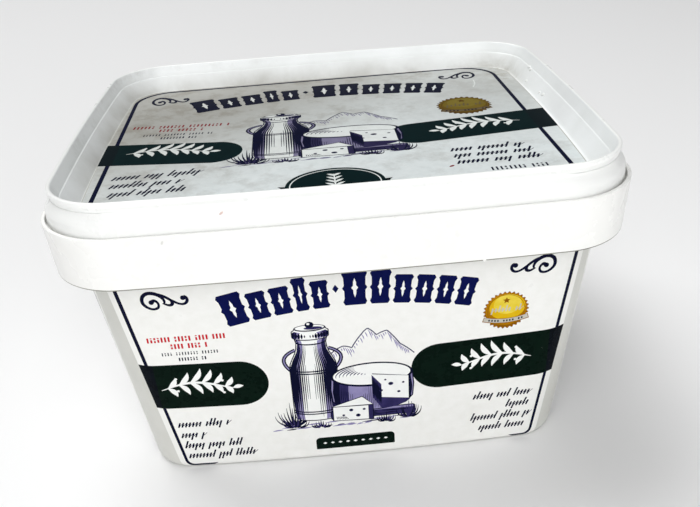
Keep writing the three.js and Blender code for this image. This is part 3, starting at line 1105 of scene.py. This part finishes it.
def milk_churn(x, y):
    """A churn about 13 mm wide and 33 mm high with hoops, handles and a lid."""
    body = [(0, 6.3), (1.5, 6.6), (17.5, 6.5), (19.5, 6.2), (23.5, 4.3), (26.0, 3.9), (28.0, 4.4)]
    cap = [(28.2, 4.9), (30.0, 4.9), (30.3, 4.4)]
    shapes = []
    for side in (-1, 1):
        grip = bow(x + side * 4.6, y + 24.0, x + side * 6.3, y + 17.0, side * 2.6, 11)
        shapes += [("line", ribbon(grip, 1.15)), ("lavender", ribbon(grip, 0.34))]
    shapes += engraved_round(x, y, body, 1.5, 23, -0.12, 3)
    for height, half in ((2.2, 6.6), (3.0, 6.6), (16.8, 6.5), (17.6, 6.5), (26.4, 4.0)):
        shapes.append(hoop(x, y + height, half, 1.5 if half > 5 else 1.0))
    shapes += engraved_round(x, y, cap, 1.1, 13, -0.12, 4)
    for ink, dx, dy, rx, ry, steps in (("line", 0, 30.9, 4.45, 1.15, 24), ("pale", 0, 31.0, 4.0, 0.85, 24),
                                       ("violet", 1.0, 30.8, 2.6, 0.5, 18), ("line", 0, 31.9, 1.25, 1.0, 14),
                                       ("pale", -0.3, 32.2, 0.45, 0.35, 10)):
        shapes.append((ink, disc(x + dx, y + dy, rx, ry, steps)))
    return shapes


def hatched(corners, spacing, wide, seed):
    """Hatching across a four-sided field: corners run low left, low right, high right, high left.

    Each line takes three random draws. The first isn't used, the others shorten its two ends."""
    dice = random.Random(seed)
    a, b, c, d = (Vector(p) for p in corners)
    count = max(3, int((b - a).length / spacing))
    shapes = []
    for t in (i / count for i in range(1, count)):
        foot, top = a.lerp(b, t), d.lerp(c, t)
        _, short_low, short_high = dice.random(), dice.random(), dice.random()
        low, high = foot.lerp(top, 0.03 + 0.08 * short_low), top.lerp(foot, 0.03 + 0.14 * short_high)
        shapes.append(stroke("line", [tuple(low.lerp(high, j / 4)) for j in range(5)], wide, 0.05))
    return shapes


def holes(face, spots, flatness, shift, inner, inner_steps):
    """Round eyes in a four-sided face of paste, each darker at its upper left."""
    a, b, c, d = (Vector(p) for p in face)
    shapes = []
    for along, up, r in spots:
        x, y = a.lerp(b, along).lerp(d.lerp(c, along), up)
        shapes.append(("violet", disc(x, y, r, r * flatness, 12)))
        shapes.append(("line", disc(x - shift, y + 0.1, r * inner, r * 0.5, inner_steps)))
    return shapes


def cheese_wheel(x, y):
    """A wheel with a piece cut out of it at the front right, so that the paste shows."""
    rx, ry, tall = 11.5, 4.0, 8.6
    side = [(0, rx), (tall * 0.5, rx + 0.35), (tall, rx)]
    shapes = engraved_round(x, y, side, ry, 43, -0.38, 9, "lavender", "violet", "line", 1.15)
    shapes.append(("line", disc(x, y + tall, rx + 0.3, ry + 0.25, 48)))
    shapes.append(("pale", disc(x, y + tall + 0.1, rx - 0.4, ry - 0.35, 48)))
    for k in range(9):
        reach = 0.90 - 0.09 * k
        path = [(x + rx * reach * math.cos(a), y + tall + ry * reach * math.sin(a))
                for a in (math.radians(118 + 4 * k + j * (70 - 6 * k) / 8) for j in range(9))]
        shapes.append(stroke("violet", path, 0.34, 0.05))

    def rim(degrees, drop=0.0):
        a = math.radians(degrees)
        return x + rx * 1.01 * math.cos(a), y + tall + ry * 1.01 * math.sin(a) - drop

    centre, sunk = (x, y + tall + 0.3), (x, y + 0.3)
    left, right = rim(-78), rim(-22)
    left_low, right_low = rim(-78, tall), rim(-22, tall)
    floor = [sunk, left_low] + [rim(d, tall + 0.25) for d in (-70, -60, -50, -40, -30)] + [right_low]
    shapes += [("line", [centre, left, left_low] + floor[2:-1] + [right_low, right]),
               ("violet", floor), ("violet", ribbon([sunk, right_low], 0.5))]
    facet = [(sunk[0] + 0.2, sunk[1] + 0.1), (right_low[0] - 0.25, right_low[1] + 0.4),
             (right[0] - 0.25, right[1] - 0.1), (centre[0] + 0.2, centre[1] - 0.35)]
    dark = [(left_low[0] + 0.2, left_low[1] + 0.3), (sunk[0] - 0.1, sunk[1] + 0.2),
            (centre[0] - 0.1, centre[1] - 0.5), (left[0] + 0.2, left[1] + 0.1)]
    eyes = ((0.22, 0.3, 0.55), (0.5, 0.62, 0.75), (0.72, 0.28, 0.5), (0.85, 0.7, 0.4), (0.35, 0.78, 0.35))
    shapes += [("pale", facet), ("violet", dark)] + hatched(dark, 0.42, 0.42, 5)
    return shapes + holes(facet, eyes, 0.8, 0.08, 0.62, 12)


def cheese_wedge(x, y):
    """A cut wedge that lies in front, with its rind to the right."""
    tall = 5.2
    (x0, y0), (x1, y1), (x2, y2) = (x, y + 0.6), (x + 11.6, y + 0.2), (x + 8.6, y + 3.4)
    outer = [(x0 - 0.35, y0 - 0.2), (x1 + 0.3, y1 - 0.35), (x1 + 0.3, y1 + tall + 0.1),
             (x2 + 0.1, y2 + tall + 0.35), (x0 - 0.35, y0 + tall + 0.05)]
    top = [(x0, y0 + tall), (x1, y1 + tall + 0.25), (x2, y2 + tall)]
    front = [(x0, y0), (x1, y1), (x1, y1 + tall - 0.15), (x0, y0 + tall - 0.25)]
    rind = [(x1 - 1.3, y1 + 0.05), (x1, y1), (x1, y1 + tall), (x1 - 1.3, y1 + tall)]
    shapes = [("line", outer), ("pale", top), ("pale", front), ("violet", rind)]
    shapes += holes([(x0, y0), (x1, y1), (x1, y1 + tall), (x0, y0 + tall)],
                    ((0.25, 0.35, 0.42), (0.45, 0.7, 0.62), (0.62, 0.3, 0.7), (0.78, 0.72, 0.45)),
                    0.85, 0.06, 0.6, 10)
    shaded = [(x0 + 0.5, y0 + 0.1), (x0 + 5.0, y0 - 0.02), (x0 + 3.4, y0 + 1.5), (x0 + 0.5, y0 + 1.6)]
    return shapes + hatched(shaded, 0.5, 0.2, 8)


def board(x, y, width, tall):
    """A dark wooden board with a light top edge and grain lines."""
    dice = random.Random(77)
    shapes = [("line", panel(x - 0.3, y - 0.3, x + width + 0.3, y + tall + 0.3, 0.8)),
              ("violet", panel(x, y, x + width, y + tall, 0.6)),
              ("lavender", panel(x + 0.3, y + tall - 0.75, x + width - 0.3, y + tall - 0.1, 0.25))]
    for i in range(16):
        start = x + 0.6 + dice.random() * (width - 6)
        run = 2.5 + dice.random() * 4.5
        level = y + 0.3 + dice.random() * (tall - 1.4)
        stop = min(start + run, x + width - 0.5)
        grain = bow(start, level, stop, level + 0.08, dice.uniform(-0.1, 0.1))
        shapes.append(stroke("line", grain, 0.36, 0.06))
    return shapes


def grass(x, y, spread, tall, count, seed):
    """A tuft of blades that lean out from its middle."""
    dice = random.Random(seed)
    shapes = []
    for i in range(count):
        t = -1 + 2 * i / (count - 1)
        foot = x + t * spread * 0.35 + dice.uniform(-0.2, 0.2)
        reach = tall * (1 - 0.45 * abs(t)) * dice.uniform(0.75, 1.1)
        path = bow(foot, y + dice.uniform(-0.2, 0.2), foot + t * spread * 0.8, y + reach, -t * 0.9)
        wide = [0.62 * (1 - j / 6) + 0.08 for j in range(7)]
        shapes.append((dice.choice(("line", "violet", "line")), ribbon(path, wide)))
    return shapes


def ground(x, y, width, seed):
    """Loose strokes of shadow on the ground, most of them lavender."""
    dice = random.Random(seed)
    shapes = []
    for i in range(26):
        cx = x + width * (i / 25 - 0.5) + dice.uniform(-1, 1)
        cy = y + dice.uniform(-1.4, 0.9)
        half = dice.uniform(0.8, 2.8)
        path = bow(cx - half, cy - 0.1, cx + half, cy + 0.25, dice.uniform(-0.2, 0.2), 6)
        shapes.append(stroke(dice.choice(("lavender", "lavender", "violet", "line")), path, 0.5))
    return shapes


def hills(x, y):
    """Far hills behind the churn: a ridge line with slanting shade strokes."""
    dice = random.Random(21)
    ridge = [(0, 0), (3, 3.2), (6, 5.0), (8.5, 4.2), (11.5, 8.6), (13.2, 10.2), (15.5, 7.8), (18.5, 9.0),
             (22, 4.2), (26, 0.6)]
    shapes = []
    for (x0, y0), (x1, y1) in zip(ridge, ridge[1:]):
        shapes.append(("violet", ribbon(bow(x + x0, y + y0, x + x1, y + y1, 0.15, 5), 0.34)))
        steps = max(2, int((x1 - x0) / 0.6))
        for i in range(steps):
            t = i / steps
            top = (x + x0 + (x1 - x0) * t, y + y0 + (y1 - y0) * t - 0.35)
            drop = (1.4 + 3.0 * dice.random()) * (1.0 if y1 < y0 else 0.45)
            if top[1] - drop > y - 0.6:
                shade = bow(*top, top[0] + drop * 0.35, top[1] - drop, 0.1, 5)
                shapes.append(stroke("lavender", shade, 0.3, 0.06))
    return shapes


def still_life():
    """The whole vignette, about 41 mm wide and 42 mm high, on its own origin at low centre."""
    shapes = hills(-6.5, 24.0)
    shapes += ground(-1.0, 1.6, 39, 31)
    shapes += grass(-16.5, 2.2, 4.5, 8.5, 13, 32)
    shapes += milk_churn(-9.2, 5.0)
    shapes += board(-5.2, 3.2, 24.5, 2.9)
    shapes += cheese_wheel(7.2, 9.8)
    shapes += grass(-16.0, 1.2, 3.5, 5.0, 11, 33)
    shapes += cheese_wedge(-4.6, 2.0)
    shapes += grass(17.6, 1.6, 3.2, 6.5, 11, 34)
    shapes += grass(11.0, 0.8, 2.4, 3.2, 9, 35)
    shapes += grass(-8.5, 0.6, 2.4, 2.8, 9, 36)
    return shapes


vignette = still_life()
print("outlines in the still life:", len(vignette))

# %% [markdown]
# ## The label on the long walls
#
# The film covers a long wall and goes a little way round both corners. Its frame line leans
# outwards with the taper. The banners run across the frame line to the film's edge, and
# their ends are darker, because two inks lie on each other there. The same design is used at
# the front and, turned round, at the back.

# %% Long wall design
FRAME_HALF_AT_FOOT = 52.7
FRAME_SPREAD = 0.1155
FRAME_LINE = 1.05
FRAME_FOOT = 0.9
FRAME_TOP = 75.5
LABEL_MARGIN = 2.3
LABEL_FOOT = 0.5
LABEL_TOP = 78.0
LABEL_SHIFT = 0.7


def tapered_panel(low, high, half_at_foot, spread, radius_low, radius_high, steps=6):
    """A panel whose sides lean out, with its own corner radii below and above."""
    half_low, half_high = half_at_foot + spread * low, half_at_foot + spread * high
    corners = [(half_high - radius_high, high - radius_high, radius_high, 0),
               (-half_high + radius_high, high - radius_high, radius_high, 1),
               (-half_low + radius_low, low + radius_low, radius_low, 2),
               (half_low - radius_low, low + radius_low, radius_low, 3)]
    points = []
    for x, y, r, quarter in corners:
        for i in range(steps + 1):
            a = (quarter + i / steps) * math.pi / 2
            points.append((x + r * math.cos(a), y + r * math.sin(a)))
    return points


def framed_film(half):
    """A wall label's white film and its frame: a dark panel with a white one inside it.

    half is half the width between the middles of the frame's two sides, at the foot."""
    outer = half + FRAME_LINE / 2
    film = tapered_panel(LABEL_FOOT, LABEL_TOP, half + LABEL_MARGIN, FRAME_SPREAD, 3.5, 8.0)
    line = tapered_panel(FRAME_FOOT, FRAME_TOP, outer, FRAME_SPREAD, 3.2, 8.0)
    field = tapered_panel(FRAME_FOOT + FRAME_LINE, FRAME_TOP - FRAME_LINE, outer - FRAME_LINE,
                          FRAME_SPREAD, 3.2 - FRAME_LINE, 8.0 - FRAME_LINE)
    return [("film", film), ("line", line), ("film", field)]


def open_foot(left, right):
    """A white patch that leaves out the frame's lowest line between two places."""
    return [("film", [(left - 3.0, 0.2), (right + 3.0, 0.2), (right, 2.4), (left, 2.4)])]


def banner(inner, middle, outer, rise, tall, end_from):
    """A banner with a half-round inner end, whose outer end lies higher and is darker."""
    side = 1 if outer > inner else -1
    radius = tall / 2
    slope = rise / (abs(outer - inner) - radius)

    def raised(points):
        return [(x, y + slope * max(0.0, abs(x - inner) - radius)) for x, y in points]

    low, high = middle - radius, middle + radius
    turns = [math.radians(a) for a in range(90, -91, -9)]
    round_end = [(inner + side * radius * (1 - math.cos(t)), middle + radius * math.sin(t)) for t in turns]
    dark = [(end_from, low), (outer, low), (outer, high), (end_from, high)]
    return [("green", raised(round_end + dark[1:3])), ("end", raised(dark))]


def long_wall_sheet():
    """All inks of the long wall's label, drawn flat, in mm across and mm up."""
    sheet = framed_film(FRAME_HALF_AT_FOOT)
    sheet += open_foot(-42.0, 46.0)
    sheet += banner(-24.0, 33.1, -66.0, 0.8, 16.5, -55.6)
    sheet += banner(16.8, 33.1, 66.0, 1.2, 16.5, 56.6)
    sheet += placed(branch(20.5, 5.4, 6), -54.5, 33.0)
    sheet += mirrored(placed(branch(20.5, 5.4, 6), -51.6, 33.7))
    sheet += title_arch(66.8, 10.6, 57.7, 136.0, 0.4)
    sheet += placed(corner_scroll(), -54.6, 61.6, 1.0, 1.12)
    sheet += mirrored(placed(corner_scroll(), -56.5, 62.6, 1.0, 1.12))
    sheet += placed(medal(6.45), 43.4, 50.8)
    for row in (("red", -55.1, -32.7, 50.0, 1.75, 0.95, 0.0, 41, 0.55),
                ("red", -49.0, -38.4, 47.4, 1.75, 0.95, 0.0, 42, 0.55),
                ("line", -52.0, -36.1, 45.1, 1.1, 0.8, 0.0, 43, 0.40),
                ("line", -47.6, -40.0, 43.0, 1.2, 0.8, 0.0, 44, 0.50)):
        sheet += stroke_row(*row)
    for row, (left, right) in enumerate(((-52.2, -36.8), (-51.9, -44.6), (-51.5, -34.4), (-51.0, -30.2))):
        sheet += stroke_row("line", left, right, 17.5 - 4.35 * row, 3.0, 1.02, 0.36, 50 + row, 0.5)
    for row, (left, right) in enumerate(((35.2, 52.6), (45.2, 52.6), (34.6, 52.4), (37.2, 51.8))):
        sheet += stroke_row("line", left, right, 18.4 - 4.35 * row, 3.0, 1.02, 0.36, 60 + row, 0.5)
    sheet += placed(vignette, -1.8, 12.7, 1.0, 1.07)
    tab = tapered_panel(0.0, 4.8, 11.9, 0.0, 0.3, 1.4)
    sheet += placed([("green", tab)], -0.5, 4.1)
    sheet += [("pale", disc(-0.5 + 2.3 * i, 6.5, 0.62, 0.42, 4)) for i in range(-4, 5)]
    return sheet


long_sheet = long_wall_sheet()
print("outlines on the long wall's label:", len(long_sheet))

# %% [markdown]
# ## Bending the label onto the wall
#
# The label's two directions are across the wall and straight up. At each height the wall is
# the master curve at that height's inset, so the depth follows from where the point lies on
# it: on the bowed side, or on the corner's arc beyond it. Cuts are close together where the
# wall turns and wide apart where it is nearly flat.

# %% Front and back labels
DEPTH_ROUNDS = 4


def wall_depth(across, height, half_across, half_depth):
    """How far out the wall lies at a point, measured from the middle of the tub.

    The bow shifts points sideways too, so the place on the unbowed wall is found in rounds."""
    inset, radius = wall_level(height)
    a, b = half_across - inset - SIDE_BOW, half_depth - inset - SIDE_BOW
    flat = across
    for _ in range(DEPTH_ROUNDS):
        over = abs(flat) - (a - radius)
        depth = b if over <= 0 else b - radius + math.sqrt(max(radius ** 2 - min(over, radius) ** 2, 0))
        flat = across - SIDE_BOW * (flat / a) * (1 - (depth / b) ** 2)
    return depth + SIDE_BOW * (depth / b) * (1 - (flat / a) ** 2)


def wall_cuts(half, turn_from, top):
    """Upright and level lines over a wall label, close together at the corners and the foot."""
    upright, x = [], 0.0
    while x < half:
        upright += [x, -x] if x else [0.0]
        x += 5.0 if x < turn_from else 0.9
    level = [0.7, 1.0, 1.4, 1.8, 2.2, 14.0, 28.0, 42.0, 56.0, 70.0]
    return [((c, 0.2), (c, top + 1)) for c in upright] + [((-half - 1, c), (half + 1, c)) for c in level]


def long_wall(across, height):
    """Front wall of the tub, in mm."""
    x = across + LABEL_SHIFT
    return x, -wall_depth(x, height, CREST_HALF_LENGTH, CREST_HALF_WIDTH), height


def turned(surface):
    """The opposite wall: the same surface turned half round the tub."""
    def opposite(across, height):
        x, y, z = surface(across, height)
        return -x, -y, z

    return opposite


# The film with its frame, which is the first three shapes, lies to the right by LABEL_SHIFT.
long_cuts = wall_cuts(66.0, 48.0, LABEL_TOP)
shifted = long_sheet[:3] + placed(long_sheet[3:], -LABEL_SHIFT, 0.0)
printed_film("label_front", shifted, wall_inks, long_wall, long_cuts)
printed_film("label_back", shifted, wall_inks, turned(long_wall), long_cuts)

# %% [markdown]
# ## Marks of this very tub
#
# A few marks are kept: a reddish speck on the lid's skirt, a faint grey one on the collar, a
# drop of moulding flash that hangs from the collar's lower edge, a small burr on the rim, and
# five low bumps on the facets at the right. Specks and bumps are flat lenses pressed onto the
# nearest place of the moulding. Flash and burr are small balls, half sunk in the plastic.
# The underside gets what every such moulding has: a shallow ring with the gate's stub in it.

# %% Marks
def lathe(name, centre, axes, levels, around=14):
    """A small closed form: rings of (share of the two side axes, share of the third axis)."""
    side, other, up = axes
    vertices = [tuple((centre + up * levels[0][1]) / MM)]
    for share, height in levels[1:-1]:
        for i in range(around):
            a = 2 * math.pi * i / around
            spot = centre + (side * math.cos(a) + other * math.sin(a)) * share + up * height
            vertices.append(tuple(spot / MM))
    vertices.append(tuple((centre + up * levels[-1][1]) / MM))
    faces, rings = [], len(levels) - 2
    for i in range(around):
        j = (i + 1) % around
        faces.append((0, 1 + i, 1 + j))
        for r in range(rings - 1):
            low = 1 + r * around
            faces.append((low + i, low + around + i, low + around + j, low + j))
        faces.append((len(vertices) - 1, 1 + (rings - 1) * around + j, 1 + (rings - 1) * around + i))
    piece = mesh_object(name, vertices, faces)
    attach(piece, "root")
    return piece


def speck(name, host, aim, half_long, half_wide, turn, material, rise=0.1):
    """A flat lens of some rise in mm on the place of the host that lies nearest to the aim."""
    mesh = host.data
    tree = BVHTree.FromPolygons([v.co for v in mesh.vertices], [tuple(f.vertices) for f in mesh.polygons])
    spot, normal, _, _ = tree.find_nearest(Vector(aim) * MM)
    level = Vector((0, 0, 1)).cross(normal).normalized()
    upright = normal.cross(level)
    c, t = math.cos(math.radians(turn)), math.sin(math.radians(turn))
    long_axis, wide_axis = level * c + upright * t, upright * c - level * t
    axes = (long_axis * half_long * MM, wide_axis * half_wide * MM, normal * rise * MM)
    piece = lathe(name, spot, axes, [(0, 1.0), (0.5, 0.8), (0.85, 0.3), (1.0, -0.3), (0, -0.6)])
    piece.data.materials.append(material)
    return piece


def drop(name, centre, half_sizes, stretch, material, slot_name):
    """A ball whose lower half is drawn out."""
    x, y, z = (c * MM for c in half_sizes)
    axes = (Vector((x, 0, 0)), Vector((0, y, 0)), Vector((0, 0, z)))
    levels = [(0, 1)]
    for r in range(1, 8):
        polar = math.pi * r / 8
        levels.append((math.sin(polar), math.cos(polar) * (1 if r < 4 else stretch)))
    levels.append((0, -stretch))
    piece = lathe(name, Vector(centre) * MM, axes, levels)
    piece.data.materials.append(material)
    return piece


reddish = film_ink("dried_reddish_speck", "#d6bdb5", "#e0cdc7", 0.6)
greyish = film_ink("faint_grey_speck", "#d6d6d2", "#e2e2de", 0.6)
marks = [
    speck("speck_skirt", lid, (-29.3, -65.2, 90.85), 0.62, 0.30, 35, reddish),
    speck("speck_collar", tub, (-44.3, -67.0, 85.0), 0.60, 0.35, 70, greyish),
    drop("flash_collar", (35.2, -65.95, 71.98), (0.50, 0.40, 0.34), 1.3, collar_plastic, "tub_wall"),
    drop("burr_rim", (75.85, 4.6, 94.2), (0.5, 1.1, 0.7), 1.0, lid_plastic, "lid_wall"),
]
BUMPS = (((72.7, 35.6, 91.6), 1.2, 0.7), ((72.4, 33.4, 91.3), 1.0, 0.7), ((70.8, 12.0, 89.0), 1.2, 0.7),
         ((70.3, 30.4, 88.3), 0.9, 0.6), ((70.7, 15.5, 88.7), 0.9, 0.5))
BUMP_TURN = 15
BUMP_RISE = 0.28
for number, (aim, half_long, half_wide) in enumerate(BUMPS, 1):
    marks.append(speck(f"bump_facet_{number}", lid, aim, half_long, half_wide, BUMP_TURN,
                       lid_plastic, BUMP_RISE))
mm_axes = (Vector((1, 0, 0)) * MM, Vector((0, 1, 0)) * MM, Vector((0, 0, 1)) * MM)
GATE_MARK = [(0, 1.2), (12.4, 1.2), (12.4, 0.72), (12.2, 0.66), (11.8, 0.66), (11.6, 0.72), (11.5, 0.92),
             (1.7, 0.92), (1.6, 0.55), (1.3, 0.45), (0, 0.45)]
gate_mark = lathe("gate_mark", Vector((0, 0, 0)), mm_axes, GATE_MARK, 48)
gate_mark.data.materials.append(collar_plastic)
marks.append(gate_mark)
print("marks:", [mark.name for mark in marks])

# %% [markdown]
# ## The lid's label
#
# The lid's film fills the whole panel. The same ornaments are used, drawn larger, with an
# oval badge at the front edge. The film lies a little crooked in the mould: it is shifted to
# the left by almost two millimetres and turned by just under a degree, as on the real pack.

# %% Lid label
LID_LABEL_SHIFT = (-1.84, 0.04)
LID_LABEL_TURN = math.radians(0.84)
LID_FRAME = (64.7, 55.7, 12.7)
LID_FRAME_LINE = 1.3
LID_SLANT = -6.5
LID_FILM_INSET = 6.85
LID_FILM_SHIFT = -0.35
EDGE_TRACE = 0.3


def on_panel(u, v):
    """A point of the lid's label, shifted and turned as the film lies."""
    c, s = math.cos(LID_LABEL_TURN), math.sin(LID_LABEL_TURN)
    return u * c - v * s + LID_LABEL_SHIFT[0], u * s + v * c + LID_LABEL_SHIFT[1], PANEL_TOP


def off_panel(x, y):
    """The way back: a point of the panel in the label's own directions."""
    c, s = math.cos(LID_LABEL_TURN), math.sin(LID_LABEL_TURN)
    x, y = x - LID_LABEL_SHIFT[0], y - LID_LABEL_SHIFT[1]
    return x * c + y * s, -x * s + y * c


def badge():
    """A dark green oval with a pale ring, a sprig and two small ribbon tips."""
    tip = [("end", [(11.0, -1.2), (15.6, -2.2), (14.6, -0.4), (15.6, 1.0), (11.0, 0.4)])]
    shapes = mirrored(tip) + tip
    for ink, rx, ry in (("green", 13.6, 11.4), ("pale", 12.5, 10.4), ("green", 12.15, 10.05)):
        shapes.append((ink, disc(0, 0, rx, ry, 56)))
    upright = [(ink, [(-y, x) for x, y in shape]) for ink, shape in sprig(12.5, 5)]
    return shapes + placed(upright, 0, -5.4)


def lid_wear():
    """Grime along the panel's back right corner, a red speck and a bright scratch."""
    dice = random.Random(17)
    shapes = [("red", disc(33.1, -39.0, 0.9, 0.45, 12, 35)),
              ("pale", ribbon(bow(56.0, 39.7, 54.2, 31.4, 0.5), 0.5))]
    for i in range(30):
        t = i / 29
        x = 30.0 + 39.5 * min(1.0, t * 1.35) - (2.2 if t > 0.74 else 0.0)
        y = 56.6 - max(0.0, t - 0.62) * 52.0
        half = dice.uniform(0.8, 2.4)
        path = bow(x - half, y + dice.uniform(-0.6, 0.4), x + half, y + dice.uniform(-0.6, 0.4), 0.1, 5)
        shapes.append(stroke(dice.choice(("grime", "trace")), path, dice.uniform(0.25, 0.6), 0.05))
    return shapes


def lid_sheet():
    """All inks of the lid's label, in mm, front edge at the bottom."""
    half_x, half_y, radius = LID_FRAME
    rims = []
    for inset in (LID_FILM_INSET, LID_FILM_INSET + EDGE_TRACE):
        curve = outline(inset, CREST_CORNER_RADIUS - inset)
        rims.append([off_panel(x + LID_FILM_SHIFT, y) for x, y in curve])
    sheet = [("film", rims[0]), ("trace", rims[0]), ("film", rims[1])]
    half_line = LID_FRAME_LINE / 2
    for ink, edge, turn in (("line", half_line, radius), ("film", -half_line, radius - LID_FRAME_LINE)):
        sheet.append((ink, panel(-half_x - edge, -half_y - edge, half_x + edge, half_y + edge, turn, 12)))
    sheet += banner(-25.2, -11.7, -75.0, 6.2, 17.5, -63.6)
    sheet += banner(19.0, -10.2, 75.0, 5.0, 17.5, 64.4)
    sheet += placed(tilted(branch(26.0, 6.2, 7), LID_SLANT), -60.5, -6.6)
    sheet += mirrored(placed(tilted(branch(26.0, 6.2, 7), -5.2), -60.5, -6.1))
    sheet += title_arch(85.3, 13.4, 34.3, 138.0, 0.3)
    sheet += placed(corner_scroll(), -59.3, 41.0, 1.06, 1.75)
    sheet += mirrored(placed(corner_scroll(), -58.0, 42.6, 1.06, 1.6))
    sheet += placed(medal(9.1, True), 47.0, 12.3)
    sheet += tilted(stroke_row("red", -61.6, -29.3, 14.0, 2.4, 1.25, 0.0, 71, 0.45), LID_SLANT, (-45.0, 15.0))
    sheet += tilted(stroke_row("red", -52.6, -37.8, 10.4, 2.4, 1.25, 0.0, 72, 0.45), LID_SLANT, (-45.0, 11.0))
    sheet += tilted(stroke_row("line", -57.4, -34.3, 6.6, 1.6, 1.0, 0.0, 73, 0.4), LID_SLANT, (-45.0, 7.0))
    sheet += tilted(stroke_row("line", -51.4, -39.8, 3.4, 1.7, 1.0, 0.0, 74, 0.5), LID_SLANT, (-45.0, 4.0))
    for row, (left, right) in enumerate(((-61.6, -36.8), (-61.4, -42.0), (-60.8, -38.0))):
        sheet += stroke_row("line", left, right, -28.0 - 5.9 * row, 4.3, 1.32, 0.42, 80 + row, 0.48)
    for row, (left, right) in enumerate(((35.0, 55.8), (35.0, 57.0), (35.0, 58.6))):
        sheet += stroke_row("line", left, right, -28.2 - 4.9 * row, 4.0, 1.32, 0.42, 90 + row, 0.48)
    sheet += stroke_row("line", 43.4, 59.4, -44.6, 2.4, 1.25, 0.0, 95, 0.42)
    sheet += placed(vignette, -1.5, -25.5, 1.3, 1.2)
    sheet += placed(badge(), 0.6, -44.2)
    sheet += lid_wear()
    return sheet


printed_film("label_lid", lid_sheet(), lid_inks, on_panel)

# %% [markdown]
# ## The labels on the short walls
#
# The short walls aren't in the photograph. Such packs carry the small print there, so they
# get a plainer label in the same colours: a frame, a green band with a sprig, a table and
# rows of strokes.

# %% Side labels
SIDE_FRAME_HALF = 41.6


def side_sheet():
    """All inks of a short wall's label."""
    sheet = framed_film(SIDE_FRAME_HALF)
    sheet += open_foot(-31.0, 31.0)
    sheet.append(("green", panel(-32.0, 55.0, 32.0, 66.0, 5.5, 8)))
    right_leaves = placed(branch(24.0, 4.0, 8), 2.0, 60.5)
    sheet += right_leaves + mirrored(right_leaves)
    sheet.append(("line", panel(4.0, 10.0, 37.0, 48.0, 1.2)))
    sheet.append(("film", panel(4.4, 10.4, 36.6, 47.6, 0.9)))
    for row in range(7):
        level = 42.0 - 5.2 * row
        sheet.append(("line", [(4.2, level), (36.8, level), (36.8, level + 0.2), (4.2, level + 0.2)]))
        sheet += stroke_row("line", 6.0, 20.0 - (row % 3) * 2.5, level + 1.6, 1.6, 0.8, 0.0, 110 + row, 0.45)
        sheet += stroke_row("line", 28.0, 34.5, level + 1.6, 1.6, 0.8, 0.0, 120 + row, 0.45)
    for row in range(11):
        end = -4.0 - (row * 5 % 4) * 2.0
        sheet += stroke_row("line", -37.0, end, 44.5 - 3.3 * row, 1.6, 0.8, 0.0, 130 + row, 0.45)
    return sheet


def short_wall(across, height):
    """The right wall, with across running towards the back."""
    return wall_depth(across, height, CREST_HALF_WIDTH, CREST_HALF_LENGTH), across, height


short_cuts = wall_cuts(55.0, 36.0, LABEL_TOP)
printed_film("label_right", side_sheet(), wall_inks, short_wall, short_cuts)
printed_film("label_left", side_sheet(), wall_inks, turned(short_wall), short_cuts)

# %% [markdown]
# ## Floor and light
#
# The photograph has a white ground. A pale floor runs well past the picture, and the light
# is soft. A low lamp stands in front, a little to the right, and a second one higher up:
# together they whiten the collar and the film. A larger one behind at the left lights the
# inside of the lid. The sky gives the even part.

# %% Floor and light
FLOOR_HALF = 2500.0
FLOOR_LEVEL = -0.05
LAMP_AIM = Vector((0.0, 0.0, 0.05))
SKY_STRENGTH = 0.12


def add_floor():
    """A pale matt floor, a hair below the foot ring so that the two faces don't coincide."""
    half, level = FLOOR_HALF, FLOOR_LEVEL
    corners = [(-half, -half, level), (half, -half, level), (half, half, level), (-half, half, level)]
    floor = mesh_object("floor", corners, [(0, 1, 2, 3)], smooth=False)
    material, shader = new_material("pale_matt_floor")
    shader.inputs["Base Color"].default_value = linear("#f2f2f2")
    shader.inputs["Roughness"].default_value = 0.9
    floor.data.materials.append(material)


def softbox(name, azimuth, elevation, distance, size, watts):
    """A square area lamp that looks at the middle of the tub. Angles are in degrees."""
    back = direction(math.radians(azimuth), math.radians(elevation))
    data = bpy.data.lights.new(name, "AREA")
    data.shape = "SQUARE"
    data.size = size
    data.energy = watts
    lamp = bpy.data.objects.new(name, data)
    lamp.location = LAMP_AIM + back * distance
    lamp.rotation_mode = "QUATERNION"
    lamp.rotation_quaternion = back.to_track_quat("Z", "Y")
    bpy.context.scene.collection.objects.link(lamp)


add_floor()
softbox("front", 8, 15, 1.2, 0.8, 5.2)
softbox("high_front", -2, 48, 1.2, 0.8, 6.7)
softbox("behind_left", -140, 62, 2.4, 1.6, 40.0)
sky = bpy.data.worlds.new("even_sky")
sky.use_nodes = True
sky.node_tree.nodes["Background"].inputs["Color"].default_value = linear("#f6f8fa")
sky.node_tree.nodes["Background"].inputs["Strength"].default_value = SKY_STRENGTH
bpy.context.scene.world = sky
bpy.context.scene.view_settings.view_transform = "Standard"
